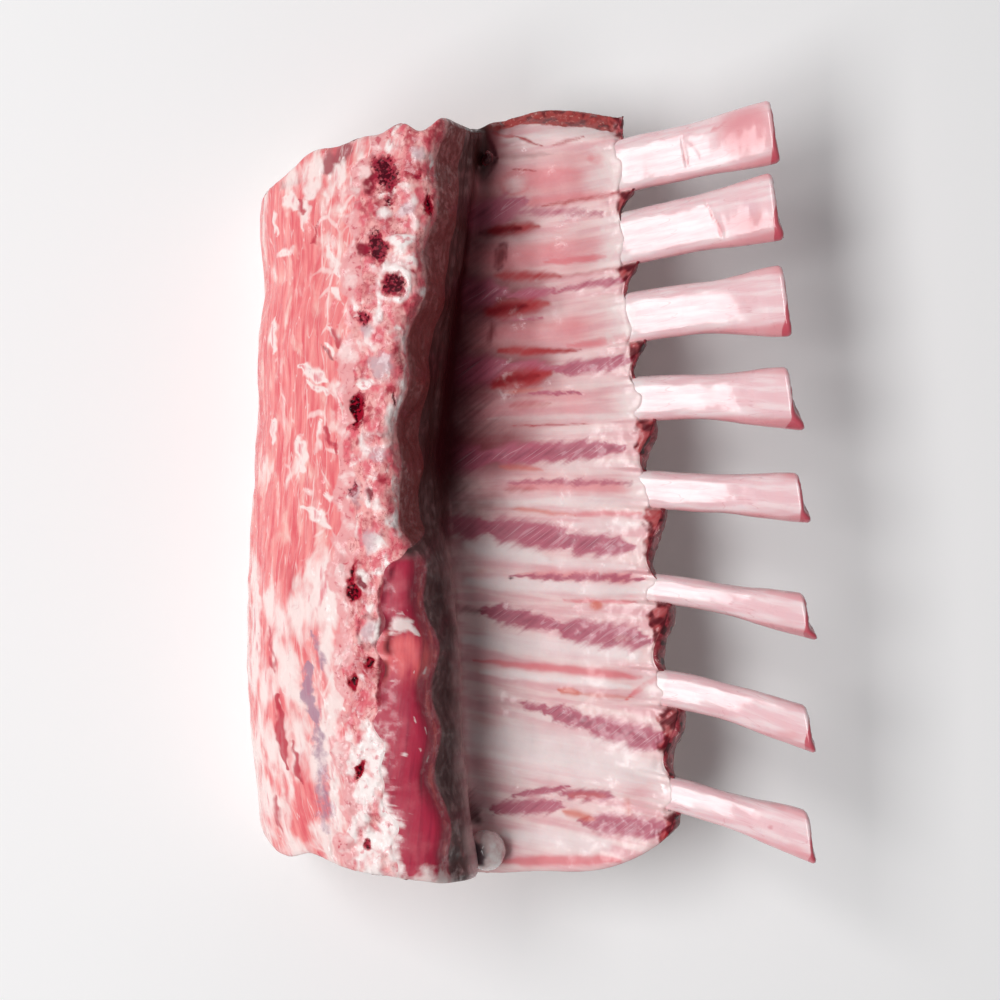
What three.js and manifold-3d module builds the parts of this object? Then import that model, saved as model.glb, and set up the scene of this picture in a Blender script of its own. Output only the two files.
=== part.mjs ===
// A raw rack of lamb: eight ribs cut free of meat at their ends, lying on its fat side with the chest side up.
// Millimetres. +Z is up and the rack rests on z = 0. +X runs from the backbone out to the rib ends.
// +Y runs along the backbone to the shoulder end. The origin is under the middle of the rack.
import * as THREE from "three";
import { mergeVertices } from "three/addons/utils/BufferGeometryUtils.js";
import Module from "manifold-3d";

const { lerp, clamp, smoothstep } = THREE.MathUtils;

// ---- Driving sizes ----
const SHOULDER_Y = 98; // where the backbone was cut at the shoulder end
const LOIN_Y = -102; // and at the loin end
const SECTION_PITCH = 3.6; // between the sections of the meat
const CHEST_RADIUS = 170; // the curve that the chest wall follows from the backbone to the rib ends
const CHEST_LOW_X = -20; // where that curve is lowest
const CHEST_LOW_Z = 24;
const WALL_THICKNESS = 12.5; // meat, rib and fat together at the free edge
const RIB_RIDGE = 2.0; // how far a rib stands proud of the meat between ribs, on the chest side
const RIB_RIDGE_REACH = 6.5; // half width of that ridge
const BONE_THICKNESS = 6.6;
const BONE_DEPTH = 5.2; // from the chest lining down to the middle of a rib bone
const BONE_START_X = -17; // the rib's head, beside the backbone
const BONE_SIDES = 12;
const BONE_STEPS = 15;
const BONE_SQUARENESS = 0.82; // 1 is an ellipse, less is squarer
const FLARE_LENGTH = 22; // how much of the rib's end widens
const END_SLANT = 0.13; // the slope of the sawn ends to the Y axis
const GAP = 0.3; // left between solids that touch
const SCALLOP = 2.2; // how far the lining runs out along each rib
const EDGE_WAVE = 2.2; // the cut edge stands out below each rib and back above the next
const VERTEBRA_PITCH = 23.4;
const VERTEBRA_BULGE = 1.1;
const KNOB = { x: -12.6, y: -99.6, z: 24, radius: 4.8 }; // the head of the next rib, left at the loin end
const SHOULDER_BEVEL = { x: 8, halfWidth: 20, depth: 7, length: 9 }; // the slanting cut beyond the first rib

// One row for each rib, shoulder end first: where its middle line passes the backbone, the middle of the chest,
// the edge of the meat and the sawn end, and its width at the edge of the meat and at the sawn end.
const MIDDLE_X = 7.5;
const RIBS = [
  { spineY: 85.2, middleY: 87.8, edge: [35, 92.5], end: [65, 97.9], width: 15.2, endWidth: 17 },
  { spineY: 64, middleY: 67, edge: [35, 72.3], end: [65.5, 77.6], width: 15.4, endWidth: 18.3 },
  { spineY: 42.5, middleY: 45.4, edge: [38, 50], end: [68.2, 52], width: 14.2, endWidth: 19.2 },
  { spineY: 21.8, middleY: 24.6, edge: [40, 26.5], end: [69.5, 25.6], width: 12.4, endWidth: 17.2 },
  { spineY: 1.8, middleY: 2.4, edge: [40, 0.6], end: [72, -1.3], width: 10.6, endWidth: 13.7 },
  { spineY: -22.6, middleY: -24.8, edge: [38, -26.5], end: [73.3, -33.2], width: 8.2, endWidth: 12.8 },
  { spineY: -46.2, middleY: -51.8, edge: [43, -54.6], end: [74, -63.3], width: 10.4, endWidth: 12.8 },
  { spineY: -71.2, middleY: -76.7, edge: [43, -83.7], end: [74.3, -92.3], width: 9.8, endWidth: 14.4 },
];

// ---- Helpers ----

// A smooth function through a few [place, value] pairs, level beyond the first and the last.
function through(pairs) {
  const places = pairs.map((pair) => pair[0]);
  const spline = new THREE.CubicInterpolant(places, pairs.map((pair) => pair[1]), 1);
  return (at) => spline.evaluate(clamp(at, places[0], places.at(-1)))[0];
}

// Joins closed rings of equal length into one body with both ends filled. The plane in which an end ring
// is filled is named by its two axes. Rings run anticlockwise when seen from the last ring back to the first.
function loft(rings, [across, up]) {
  const count = rings[0].length;
  const corners = rings.flat().flatMap((p) => [p.x, p.y, p.z]);
  const index = [];
  for (let ring = 0; ring + 1 < rings.length; ring++) {
    for (let i = 0; i < count; i++) {
      const next = (i + 1) % count;
      const [a, b] = [ring * count + i, ring * count + next];
      index.push(a, b, b + count, a, b + count, a + count);
    }
  }
  for (const last of [false, true]) {
    const ring = last ? rings.at(-1) : rings[0];
    const first = last ? (rings.length - 1) * count : 0;
    const outline = ring.map((p) => new THREE.Vector2(p[across], p[up]));
    const turned = THREE.ShapeUtils.isClockWise(outline) !== last;
    for (const face of THREE.ShapeUtils.triangulateShape(outline, [])) {
      const [a, b, c] = face.map((corner) => corner + first);
      index.push(a, ...(turned ? [b, c] : [c, b]));
    }
  }
  const geometry = new THREE.BufferGeometry();
  geometry.setAttribute("position", new THREE.Float32BufferAttribute(corners, 3));
  geometry.setIndex(index);
  return geometry;
}

// ---- The chest wall and the ribs ----

// Height of the chest lining over the ribs.
function chestZ(x) {
  const run = x - CHEST_LOW_X;
  return CHEST_LOW_Z + CHEST_RADIUS - Math.sqrt(CHEST_RADIUS ** 2 - run ** 2);
}

// Each rib's middle line, as a function of x.
const ribLines = RIBS.map((rib) =>
  through([[BONE_START_X - 8, rib.spineY], [MIDDLE_X, rib.middleY], rib.edge, rib.end]),
);

// 1 on top of a rib and 0 between two.
function onRib(x, y) {
  const nearest = Math.min(...ribLines.map((line) => Math.abs(y - line(x))));
  return Math.exp(-((nearest / RIB_RIDGE_REACH) ** 2));
}

// How far y is through its space between two ribs, from 0 at the rib on its shoulder side to 1 at the next.
function spaceShare(x, y) {
  const across = ribLines.map((line) => line(x));
  const next = across.findIndex((ribY) => ribY < y);
  if (next < 1) return 0;
  return (across[next - 1] - y) / (across[next - 1] - across[next]);
}

// A rib bone, or with grow the channel that it lies in: sections side by side along x. The saw left its end
// square to x but for a small slant.
function ribGeometry(rib, line, grow) {
  const start = BONE_START_X - grow;
  const end = rib.end[0] + grow;
  const rings = [];
  for (let step = 0; step <= BONE_STEPS; step++) {
    const x = lerp(start, end, step / BONE_STEPS);
    const flare = smoothstep(x, rib.end[0] - FLARE_LENGTH, rib.end[0]);
    const worn = step === 0 || step === BONE_STEPS ? 0.95 : 1;
    const halfWidth = (lerp(rib.width, rib.endWidth, flare) / 2) * worn + grow;
    const halfDepth = (BONE_THICKNESS / 2) * worn + grow;
    const slope = (x - CHEST_LOW_X) / CHEST_RADIUS;
    const steep = 1 / Math.sqrt(1 - slope ** 2);
    const ring = [];
    for (let side = 0; side < BONE_SIDES; side++) {
      const angle = (2 * Math.PI * side) / BONE_SIDES;
      const squared = (v) => Math.sign(v) * Math.abs(v) ** BONE_SQUARENESS;
      const across = halfWidth * squared(Math.cos(angle));
      const z = chestZ(x) - BONE_DEPTH * steep + halfDepth * steep * squared(Math.sin(angle));
      ring.push(new THREE.Vector3(x - across * END_SLANT * flare, line(x) + across, z));
    }
    rings.push(ring);
  }
  return loft(rings, ["y", "z"]);
}

// ---- The meat ----

// Lines that run along the rack, from the loin end to the shoulder end: x or z against y.
const leftX = through([
  [-97, -73],
  [-90, -75],
  [-71, -77.2],
  [-57, -78.4],
  [-25, -78.6],
  [17, -76.2],
  [44, -75.5],
  [56, -74],
  [70, -75],
  [98, -74.4],
]);
const ridgeX = through([
  [-102, -24],
  [-70, -28.5],
  [-40, -29.5],
  [-22, -32],
  [0, -36.5],
  [35, -34],
  [62, -29],
  [98, -25],
]);
const ridgeZ = through([
  [-102, 54],
  [-60, 59],
  [-20, 61],
  [20, 61],
  [60, 59.5],
  [98, 56],
]);
const chineLeftX = through([
  [-102, -50],
  [-60, -51],
  [0, -51],
  [50, -49],
  [80, -47.5],
  [98, -41],
]);
const floorX = through([
  [-102, -15],
  [-70, -17.5],
  [-20, -20],
  [0, -21.5],
  [35, -20],
  [98, -13],
]);

// The free edge: where the chest lining ends, and how far the meat below it reaches.
const edgeX = through([
  [-103, 34],
  [-90, 38],
  [-68, 37.3],
  [-40, 34.5],
  [-14, 32.8],
  [12, 31],
  [34, 28.6],
  [59, 26.3],
  [98, 24.2],
]);
const lowerEdgeX = through([
  [-103, 37],
  [-90, 40.5],
  [-68, 41],
  [-40, 38.3],
  [-14, 35.4],
  [12, 33.4],
  [34, 29.5],
  [59, 26.8],
  [98, 24.6],
]);

// Where the two cut ends stand: y against x.
const shoulderEndY = through([
  [-75, 82.5],
  [-57.5, 92.6],
  [-43, SHOULDER_Y - 2.4],
  [-33, SHOULDER_Y - 1],
  [-23.5, SHOULDER_Y + 1.4],
  [-11.5, 104],
  [8, 107.6],
  [25, 104.6],
]);
const loinEndY = through([
  [-77, -89],
  [-73, -95.5],
  [-67, -98.5],
  [-60, -97],
  [-50, -100.4],
  [-38, LOIN_Y],
  [-26, -103.4],
  [-12, -105.6],
  [0, -105],
  [19, -104],
  [30, -99.6],
  [39, -93],
]);

// The section at y as [x, z, pieces] corners of a smooth closed line: pieces is how many sides it has
// up to the next corner. The first stretch is the flat on which the rack rests.
function sectionCorners(y) {
  const [left, ridge, top, floor, edge] = [leftX(y), ridgeX(y), ridgeZ(y), floorX(y), edgeX(y)];
  const rib = onRib(edge, y);
  const wave = EDGE_WAVE * Math.sin(2 * Math.PI * spaceShare(edge, y));
  const rimX = edge + SCALLOP * rib + wave;
  const rimBottom = chestZ(edge) - WALL_THICKNESS;
  const cutX = lowerEdgeX(y) - rib + wave;
  const bulge = VERTEBRA_BULGE * Math.sin((2 * Math.PI * y) / VERTEBRA_PITCH);
  return [
    [left + 15, 0, 3],
    [-12, 0, 3],
    [9, 4, 3],
    [edge - 8, rimBottom - 5, 2],
    [cutX, rimBottom + 2, 2],
    [rimX, chestZ(rimX) - 0.4, 1],
    [edge - 4, chestZ(edge - 4), 5],
    [15, chestZ(15), 5],
    [0, chestZ(0), 5],
    [floor, chestZ(floor) + 0.5, 2],
    [ridge + 9, lerp(CHEST_LOW_Z, top, 0.28), 3],
    [ridge + 4.5 + bulge, lerp(CHEST_LOW_Z, top, 0.66), 2],
    [ridge + bulge, top - 1.5, 1],
    [ridge - 3 + bulge, top, 2],
    [chineLeftX(y), top - 5, 3],
    [lerp(chineLeftX(y), left, 0.55), lerp(top, 22, 0.36), 3],
    [left + 2.5, 34, 2],
    [left, 22, 2],
    [left + 4, 8, 2],
  ];
}

// How far the chest side stands above or below its plain curve.
function chestRelief(x, y) {
  const outOfCorner = smoothstep(x, CHEST_LOW_X - 6, CHEST_LOW_X + 10);
  const ridges = RIB_RIDGE * (onRib(x, y) - 1) * outOfCorner;
  const { x: bevelX, halfWidth, depth, length } = SHOULDER_BEVEL;
  const beside = 1 - smoothstep(Math.abs(x - bevelX), halfWidth - 5, halfWidth);
  const bevel = depth * beside * smoothstep(y, shoulderEndY(x) - length, shoulderEndY(x));
  return ridges - bevel;
}

function meatRing(y) {
  const corners = sectionCorners(y);
  const line = new THREE.CatmullRomCurve3(corners.map(([x, z]) => new THREE.Vector3(x, y, z)), true, "centripetal");
  const ring = [];
  corners.forEach(([, , pieces], corner) => {
    for (let piece = 0; piece < pieces; piece++) {
      const point = line.getPoint((corner + piece / pieces) / corners.length);
      const onChest = corner >= 6 && corner <= 10;
      if (onChest) point.z += chestRelief(point.x, point.y);
      point.z = Math.max(point.z, 0);
      ring.push(point);
    }
  });
  return ring;
}

// The whole rack but for the bare rib ends, longer than it should be at both ends.
function bodyGeometry() {
  const rings = [];
  for (let y = SHOULDER_Y + 12; y > LOIN_Y - 12; y -= SECTION_PITCH) rings.push(meatRing(y));
  return loft(rings, ["x", "z"]);
}

// What lies between the two cut ends, as seen from above.
function planGeometry() {
  const ends = [[], []];
  for (let x = -92; x <= 58; x += 5) {
    ends[0].push([x, loinEndY(x)]);
    ends[1].unshift([x, shoulderEndY(x)]);
  }
  return loft([-5, 90].map((z) => ends.flat().map(([x, y]) => new THREE.Vector3(x, y, z))), ["x", "y"]);
}

// ---- The backbone ----

// How far right of the ridge the sawn backbone reaches. At the loin end a strip of muscle lies over its side.
const chineReach = through([[-102, -11], [-40, -10], [-18, -4], [-4, 18], [98, 18]]);

// The wedge of the rack that is backbone, or with grow the seat that it lies in.
function chineWedge(grow) {
  const rings = [];
  for (let y = SHOULDER_Y + 10; y >= LOIN_Y - 10; y -= 6) {
    const [ridge, top, left] = [ridgeX(y), ridgeZ(y), chineLeftX(y)];
    const right = ridge + chineReach(y);
    const foot = lerp(CHEST_LOW_Z, top, 0.5);
    const outline = [
      [left - grow, top + 12],
      [left - grow, top - 9 - grow],
      [Math.min(ridge, right) - 7, foot - grow],
      [right + grow, foot - grow],
      [right + grow, top + 12],
    ];
    rings.push(outline.map(([x, z]) => new THREE.Vector3(x, y, z)));
  }
  return loft(rings, ["x", "z"]);
}

// ---- Solids ----

const wasm = await Module();
wasm.setup();

function solidOf(geometry) {
  const bare = new THREE.BufferGeometry();
  bare.setAttribute("position", geometry.attributes.position);
  bare.setIndex(geometry.index);
  const merged = mergeVertices(bare, 1e-3);
  return new wasm.Manifold(
    new wasm.Mesh({
      numProp: 3,
      vertProperties: merged.attributes.position.array,
      triVerts: new Uint32Array(merged.index.array),
    }),
  );
}

function geometryOf(solid) {
  const mesh = solid.getMesh();
  const geometry = new THREE.BufferGeometry();
  geometry.setAttribute("position", new THREE.BufferAttribute(mesh.vertProperties, 3));
  geometry.setIndex(new THREE.BufferAttribute(mesh.triVerts, 1));
  geometry.computeVertexNormals();
  return geometry;
}

// ---- Finishes ----

const wetMeat = new THREE.MeshStandardMaterial({ color: 0xd9727a, roughness: 0.35, metalness: 0 });
const sawnBone = new THREE.MeshStandardMaterial({ color: 0xe9b9b4, roughness: 0.5, metalness: 0 });
const bareBone = new THREE.MeshStandardMaterial({ color: 0xf0d8d8, roughness: 0.3, metalness: 0 });

function named(name, geometry, material) {
  const mesh = new THREE.Mesh(geometry, material);
  mesh.name = name;
  return mesh;
}

// ---- The rack ----

const rack = new THREE.Group();
const knob = new THREE.SphereGeometry(KNOB.radius, 18, 12).translate(KNOB.x, KNOB.y, KNOB.z);
const body = solidOf(bodyGeometry()).intersect(solidOf(planGeometry())).add(solidOf(knob));
let meat = body.subtract(solidOf(chineWedge(GAP)));
RIBS.forEach((rib, i) => {
  meat = meat.subtract(solidOf(ribGeometry(rib, ribLines[i], GAP)));
  const bone = solidOf(ribGeometry(rib, ribLines[i], 0));
  rack.add(named(`rib_${i + 1}`, geometryOf(bone), bareBone));
});
rack.add(named("meat", geometryOf(meat), wetMeat));
rack.add(named("chine_bone", geometryOf(body.intersect(solidOf(chineWedge(0)))), sawnBone));

const box = new THREE.Box3().setFromObject(rack);
const middle = box.getCenter(new THREE.Vector3());
rack.position.set(-middle.x, -middle.y, -box.min.z);

export default rack;
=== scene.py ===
"""The looks of a raw rack of lamb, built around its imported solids.

The rack lies fat side down, chest side up. Sizes are millimetres in the rack's own coordinates: +X from the
backbone out to the rib ends, +Y along the backbone to the shoulder end, +Z up. Points are turned to metres in
the frame when a piece is made.
"""

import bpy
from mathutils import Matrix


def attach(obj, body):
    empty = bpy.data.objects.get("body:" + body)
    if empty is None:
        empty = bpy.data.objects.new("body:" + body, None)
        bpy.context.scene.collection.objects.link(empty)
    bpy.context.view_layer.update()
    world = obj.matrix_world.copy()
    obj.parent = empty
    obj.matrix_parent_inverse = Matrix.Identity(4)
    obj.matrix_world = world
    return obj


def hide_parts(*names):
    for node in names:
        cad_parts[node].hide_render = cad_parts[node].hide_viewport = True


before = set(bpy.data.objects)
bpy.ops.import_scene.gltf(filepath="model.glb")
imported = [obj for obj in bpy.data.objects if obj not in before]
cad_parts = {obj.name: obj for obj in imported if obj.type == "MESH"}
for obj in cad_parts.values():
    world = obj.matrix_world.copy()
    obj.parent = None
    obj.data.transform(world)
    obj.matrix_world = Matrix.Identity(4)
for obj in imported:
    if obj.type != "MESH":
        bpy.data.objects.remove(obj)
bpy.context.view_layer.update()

import logging
import math
from collections.abc import Iterable, Sequence
from dataclasses import dataclass, field
from enum import Enum

import bpy
import numpy as np
from mathutils import Vector
from mathutils.geometry import delaunay_2d_cdt

LOG = logging.getLogger("rack_of_lamb")
BODY = "root"
MM = 0.001
FRAME_SHIFT = np.array([1.8, -1.0, 0.0])  # the frame's origin is under the middle of the rack's box
Sizes = float | tuple[float, float, float]


# ---- Numbers and noise ----


def lerp(start: np.ndarray, end: np.ndarray, share: np.ndarray) -> np.ndarray:
    """The value at share of the way from start to end."""
    return start + (end - start) * share


def smoothstep(value: np.ndarray, low: float, high: float) -> np.ndarray:
    """0 below low, 1 above high and an S-shaped rise between them."""
    share = np.clip((value - low) / (high - low), 0, 1)
    return share * share * (3 - 2 * share)


def hump(value: np.ndarray, middle: float, half: float) -> np.ndarray:
    """A bell of height 1 at middle that has fallen to 0.37 at half to either side."""
    return np.exp(-(((value - middle) / half) ** 2))


class Through:
    """A smooth function through a few (place, value) pairs, level beyond the first and the last."""

    def __init__(self, *pairs: tuple[float, float]) -> None:
        """Works out the slope at each pair.

        Args:
            pairs: places in rising order, each with its value.
        """
        self.places, self.values = np.array(pairs, float).T
        secants = np.diff(self.values) / np.diff(self.places)
        self.slopes = np.concatenate([secants[:1], (secants[1:] + secants[:-1]) / 2, secants[-1:]])

    def __call__(self, at: np.ndarray) -> np.ndarray:
        """The value at each place.

        Args:
            at: one place, or an array of them.

        Returns:
            The values, in the same shape.
        """
        at = np.clip(at, self.places[0], self.places[-1])
        i = np.clip(np.searchsorted(self.places, at, side="right") - 1, 0, len(self.places) - 2)
        width = self.places[i + 1] - self.places[i]
        p = (at - self.places[i]) / width
        rise = p * p * (3 - 2 * p)
        start = (p - 2 * p**2 + p**3) * width * self.slopes[i]
        end = (p**3 - p**2) * width * self.slopes[i + 1]
        return lerp(self.values[i], self.values[i + 1], rise) + start + end


class Noise:
    """Seeded smooth noise in space, from about -1 to 1."""

    def __init__(self, seed: int) -> None:
        """Draws the lattice's directions.

        Args:
            seed: the same seed always gives the same noise.
        """
        draw = np.random.default_rng(seed)
        self.order = np.tile(draw.permutation(256), 2)
        arrows = draw.normal(size=(256, 3))
        self.arrows = arrows / np.linalg.norm(arrows, axis=1, keepdims=True)

    def once(self, places: np.ndarray) -> np.ndarray:
        """One layer of noise.

        Args:
            places: an array of points, its last axis being the three coordinates, in lattice steps.

        Returns:
            The noise at each point.
        """
        cell = np.floor(places).astype(int)
        part = places - cell
        cell &= 255
        fade = part**3 * (part * (part * 6 - 15) + 10)
        total = np.zeros(places.shape[:-1])
        for corner in np.ndindex(2, 2, 2):
            x, y, z = np.moveaxis(cell + corner, -1, 0)
            arrow = self.arrows[self.order[self.order[self.order[x] + y] + z]]
            weight = np.prod(np.where(corner, fade, 1 - fade), axis=-1)
            total += weight * np.sum(arrow * (part - corner), axis=-1)
        return total * 1.6

    def __call__(self, places: np.ndarray, size: Sizes, layers: int = 1) -> np.ndarray:
        """Layered noise, each layer half as large and half as strong as the one before.

        Args:
            places: points in millimetres.
            size: how far apart its bumps are, in millimetres, or how far along each axis.
            layers: how many layers.

        Returns:
            The noise at each point.
        """
        scaled = places / np.array(size, float)
        return sum(self.once(scaled * 2**n + 17.3 * n) / 2**n for n in range(layers))


class Lobes:
    """Irregular cells in a plane, as muscle bundles lie in a cut: how near each point is to a seam."""

    def __init__(self, seed: int) -> None:
        """Draws where the middle of each cell lies within its square.

        Args:
            seed: the same seed always gives the same cells.
        """
        self.jitter = np.random.default_rng(seed).uniform(0.05, 0.95, (64, 64, 2))

    def __call__(self, u: np.ndarray, v: np.ndarray) -> np.ndarray:
        """Looks the cells up.

        Args:
            u: the first coordinate, in cells.
            v: the second, in cells.

        Returns:
            The distance to the nearest seam, in cells.
        """
        place = np.stack([u, v], -1)
        square = np.floor(place).astype(int)
        first = np.full(u.shape, 9.0)
        second = np.full(u.shape, 9.0)
        for step in np.ndindex(3, 3):
            at = square + step - 1
            drawn = self.jitter[at[..., 0] % 64, at[..., 1] % 64]
            away = np.linalg.norm(at + drawn - place, axis=-1)
            second = np.where(away < first, first, np.minimum(second, away))
            first = np.minimum(first, away)
        return (second - first) / 2


# ---- The form of the rack ----


@dataclass(frozen=True)
class Rib:
    """Where one rib's middle line runs, as seen from above, and how wide the rib is."""

    spine_y: float
    middle_y: float
    edge: tuple[float, float]
    end: tuple[float, float]
    width: float
    end_width: float
    hook: float  # how far the sawn end's loin-side corner stands out

    def line(self, spine_x: float, middle_x: float) -> Through:
        """The rib's middle line: y as a function of x."""
        return Through((spine_x, self.spine_y), (middle_x, self.middle_y), self.edge, self.end)


RIBS = (
    Rib(85.2, 87.8, (35, 92.5), (65, 97.9), 15.2, 17, 0.8),
    Rib(64, 67, (35, 72.3), (65.5, 77.6), 15.4, 18.3, 1.2),
    Rib(42.5, 45.4, (38, 50), (68.2, 52), 14.2, 19.2, 0.4),
    Rib(21.8, 24.6, (40, 26.5), (69.5, 25.6), 12.4, 17.2, 2.6),
    Rib(1.8, 2.4, (40, 0.6), (72, -1.3), 10.6, 13.7, 1.8),
    Rib(-22.6, -24.8, (38, -26.5), (73.3, -33.2), 8.2, 12.8, 2.2),
    Rib(-46.2, -51.8, (43, -54.6), (74, -63.3), 10.4, 12.8, 1.0),
    Rib(-71.2, -76.7, (43, -83.7), (74.3, -92.3), 9.8, 14.4, 0.6),
)


@dataclass
class RackForm:
    """The plain shape of the rack, before its skin, seams and grain: the same sizes as the solids have."""

    shoulder_y: float = 98
    loin_y: float = -102
    chest_radius: float = 170
    chest_low_x: float = -20
    chest_low_z: float = 24
    wall_thickness: float = 12.5
    rib_ridge: float = 2.0
    rib_ridge_reach: float = 6.5
    bone_start_x: float = -17
    bone_squareness: float = 0.82
    flare_length: float = 22
    end_slant: float = 0.13
    scallop: float = 2.2
    edge_wave: float = 2.2
    vertebra_pitch: float = 23.4
    vertebra_bulge: float = 1.1
    bevel_x: float = 8
    bevel_half_width: float = 20
    bevel_depth: float = 7
    bevel_length: float = 9
    middle_x: float = 7.5
    seam_wave: float = 0.06  # how far, in corners, the line between backbone and lean wanders
    table_pitch: float = 0.5  # between the sections that the grids are read from
    left_x: Through = Through(
        (-97, -73), (-90, -75), (-71, -77.2), (-57, -78.4), (-25, -78.6),
        (17, -76.2), (44, -75.5), (56, -74), (70, -75), (98, -74.4),
    )
    ridge_x: Through = Through(
        (-102, -24), (-70, -28.5), (-40, -29.5), (-22, -32), (0, -36.5), (35, -34), (62, -29), (98, -25),
    )
    ridge_z: Through = Through((-102, 54), (-60, 59), (-20, 61), (20, 61), (60, 59.5), (98, 56))
    chine_left_x: Through = Through((-102, -50), (-60, -51), (0, -51), (50, -49), (80, -47.5), (98, -41))
    floor_x: Through = Through((-102, -15), (-70, -17.5), (-20, -20), (0, -21.5), (35, -20), (98, -13))
    edge_x: Through = Through(
        (-103, 34), (-90, 38), (-68, 37.3), (-40, 34.5), (-14, 32.8),
        (12, 31), (34, 28.6), (59, 26.3), (98, 24.2),
    )
    lower_edge_x: Through = Through(
        (-103, 37), (-90, 40.5), (-68, 41), (-40, 38.3), (-14, 35.4),
        (12, 33.4), (34, 29.5), (59, 26.8), (98, 24.6),
    )
    chine_reach: Through = Through((-102, -11), (-40, -10), (-18, -4), (-4, 18), (98, 18))
    shoulder_end: Through = Through(
        (-75, 82), (-66, 87), (-60, 91.8), (-52.5, 93), (-44.6, 95.4), (-41, 95.8), (-34.5, 98.2),
        (-30, 95.8), (-23.5, 99.6), (-17.5, 99.4), (-11.5, 103), (-6, 105.4), (2, 107.4), (12, 107.2),
        (25, 104.6),
    )
    loin_end: Through = Through(
        (-77, -89), (-73, -95.5), (-67, -98.5), (-60, -97), (-50, -100.4), (-38, -102),
        (-26, -103.4), (-12, -105.6), (0, -105), (19, -104), (30, -99.6), (39, -93),
    )

    def __post_init__(self) -> None:
        """Draws the ribs' middle lines."""
        self.rib_lines = [rib.line(self.bone_start_x - 8, self.middle_x) for rib in RIBS]

    def chest_z(self, x: np.ndarray) -> np.ndarray:
        """Height of the chest lining over the ribs."""
        run = x - self.chest_low_x
        return self.chest_low_z + self.chest_radius - np.sqrt(self.chest_radius**2 - run**2)

    def rib_offsets(self, x: np.ndarray, y: np.ndarray) -> np.ndarray:
        """How far y is from each rib's middle line, towards the shoulder, with the ribs on the first axis."""
        return np.stack([y - line(x) for line in self.rib_lines])

    def on_rib(self, x: np.ndarray, y: np.ndarray) -> np.ndarray:
        """1 on top of a rib and 0 between two."""
        return hump(np.abs(self.rib_offsets(x, y)).min(0), 0, self.rib_ridge_reach)

    def space_share(self, x: np.ndarray, y: np.ndarray) -> np.ndarray:
        """How far y is through its space between two ribs.

        Args:
            x: places across the rack.
            y: places along it.

        Returns:
            0 at the rib on the shoulder side, rising to 1 at the next, and 0 beyond the first and last ribs.
        """
        away = self.rib_offsets(x, y)
        share = np.zeros(np.shape(y))
        for above, below in zip(away[:-1], away[1:]):
            inside = (above <= 0) & (below > 0)
            share = np.where(inside, above / (above - below), share)
        return share

    def fan(self, x: np.ndarray, y: np.ndarray) -> np.ndarray:
        """A distance from rib to rib that follows their lines, rising towards the loin.

        Args:
            x: places across the rack.
            y: places along it.

        Returns:
            The distance at each place, in millimetres.
        """
        away = self.rib_offsets(x, y)
        place = np.where(away[0] > 0, -away[0], 25 * (len(away) - 1) - away[-1])
        for number, (above, below) in enumerate(zip(away[:-1], away[1:])):
            inside = (above <= 0) & (below > 0)
            place = np.where(inside, 25 * (number + above / (above - below)), place)
        return place

    def seam(self, y: np.ndarray) -> np.ndarray:
        """Where backbone and lean meet on each section's line, counted in corners."""
        return 14 + self.seam_wave * (np.sin(y / 4.1) + 0.8 * np.sin(y / 1.9 + 1))

    def corners(self, y: np.ndarray) -> np.ndarray:
        """The corners of the section at each y, on whose smooth closed line the skin lies.

        Args:
            y: places along the rack.

        Returns:
            x and z of each corner, in an array of y's length by 19 by 2.
        """
        left, ridge, top, floor = self.left_x(y), self.ridge_x(y), self.ridge_z(y), self.floor_x(y)
        edge, chine, low = self.edge_x(y), self.chine_left_x(y), self.chest_low_z
        rib = self.on_rib(edge, y)
        wave = self.edge_wave * np.sin(2 * np.pi * self.space_share(edge, y))
        rim = edge + self.scallop * rib + wave
        rim_bottom = self.chest_z(edge) - self.wall_thickness
        bulge = self.vertebra_bulge * np.sin(2 * np.pi * y / self.vertebra_pitch)
        flat = np.zeros(np.shape(y))
        rows = [
            (left + 15, flat),
            (flat - 12, flat),
            (flat + 9, flat + 4),
            (edge - 8, rim_bottom - 5),
            (self.lower_edge_x(y) - rib + wave, rim_bottom + 2),
            (rim, self.chest_z(rim) - 0.4),
            (edge - 4, self.chest_z(edge - 4)),
            (flat + 15, flat + self.chest_z(15)),
            (flat, flat + self.chest_z(0)),
            (floor, self.chest_z(floor) + 0.5),
            (ridge + 9, lerp(low, top, 0.28)),
            (ridge + 4.5 + bulge, lerp(low, top, 0.66)),
            (ridge + bulge, top - 1.5),
            (ridge - 3 + bulge, top),
            (chine, top - 5),
            (lerp(chine, left, 0.55), lerp(top, 22, 0.36)),
            (left + 2.5, flat + 34),
            (left, flat + 22),
            (left + 4, flat + 8),
        ]
        return np.stack([np.stack(pair, -1) for pair in rows], 1)

    @staticmethod
    def round_line(corners: np.ndarray, turns: np.ndarray) -> np.ndarray:
        """Points on each row's smooth closed line through its corners.

        Args:
            corners: rows of corners, from corners().
            turns: for each row, the places on the line, counted in corners.

        Returns:
            x and z of each point, rows by places by 2.
        """
        count = corners.shape[1]
        first = np.floor(turns).astype(int)
        row = np.arange(len(corners))[:, None]
        a, b, c, d = (corners[row, (first + n) % count] for n in (-1, 0, 1, 2))
        steps = (b - a, c - b, d - c)
        ab, bc, cd = (np.sqrt(np.linalg.norm(step, axis=-1, keepdims=True)) for step in steps)
        leave = ((b - a) / ab - (c - a) / (ab + bc) + (c - b) / bc) * bc
        arrive = ((c - b) / bc - (d - b) / (bc + cd) + (d - c) / cd) * bc
        p = (turns - first)[..., None]
        rise = p * p * (3 - 2 * p)
        return lerp(b, c, rise) + (p - 2 * p**2 + p**3) * leave + (p**3 - p**2) * arrive

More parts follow.
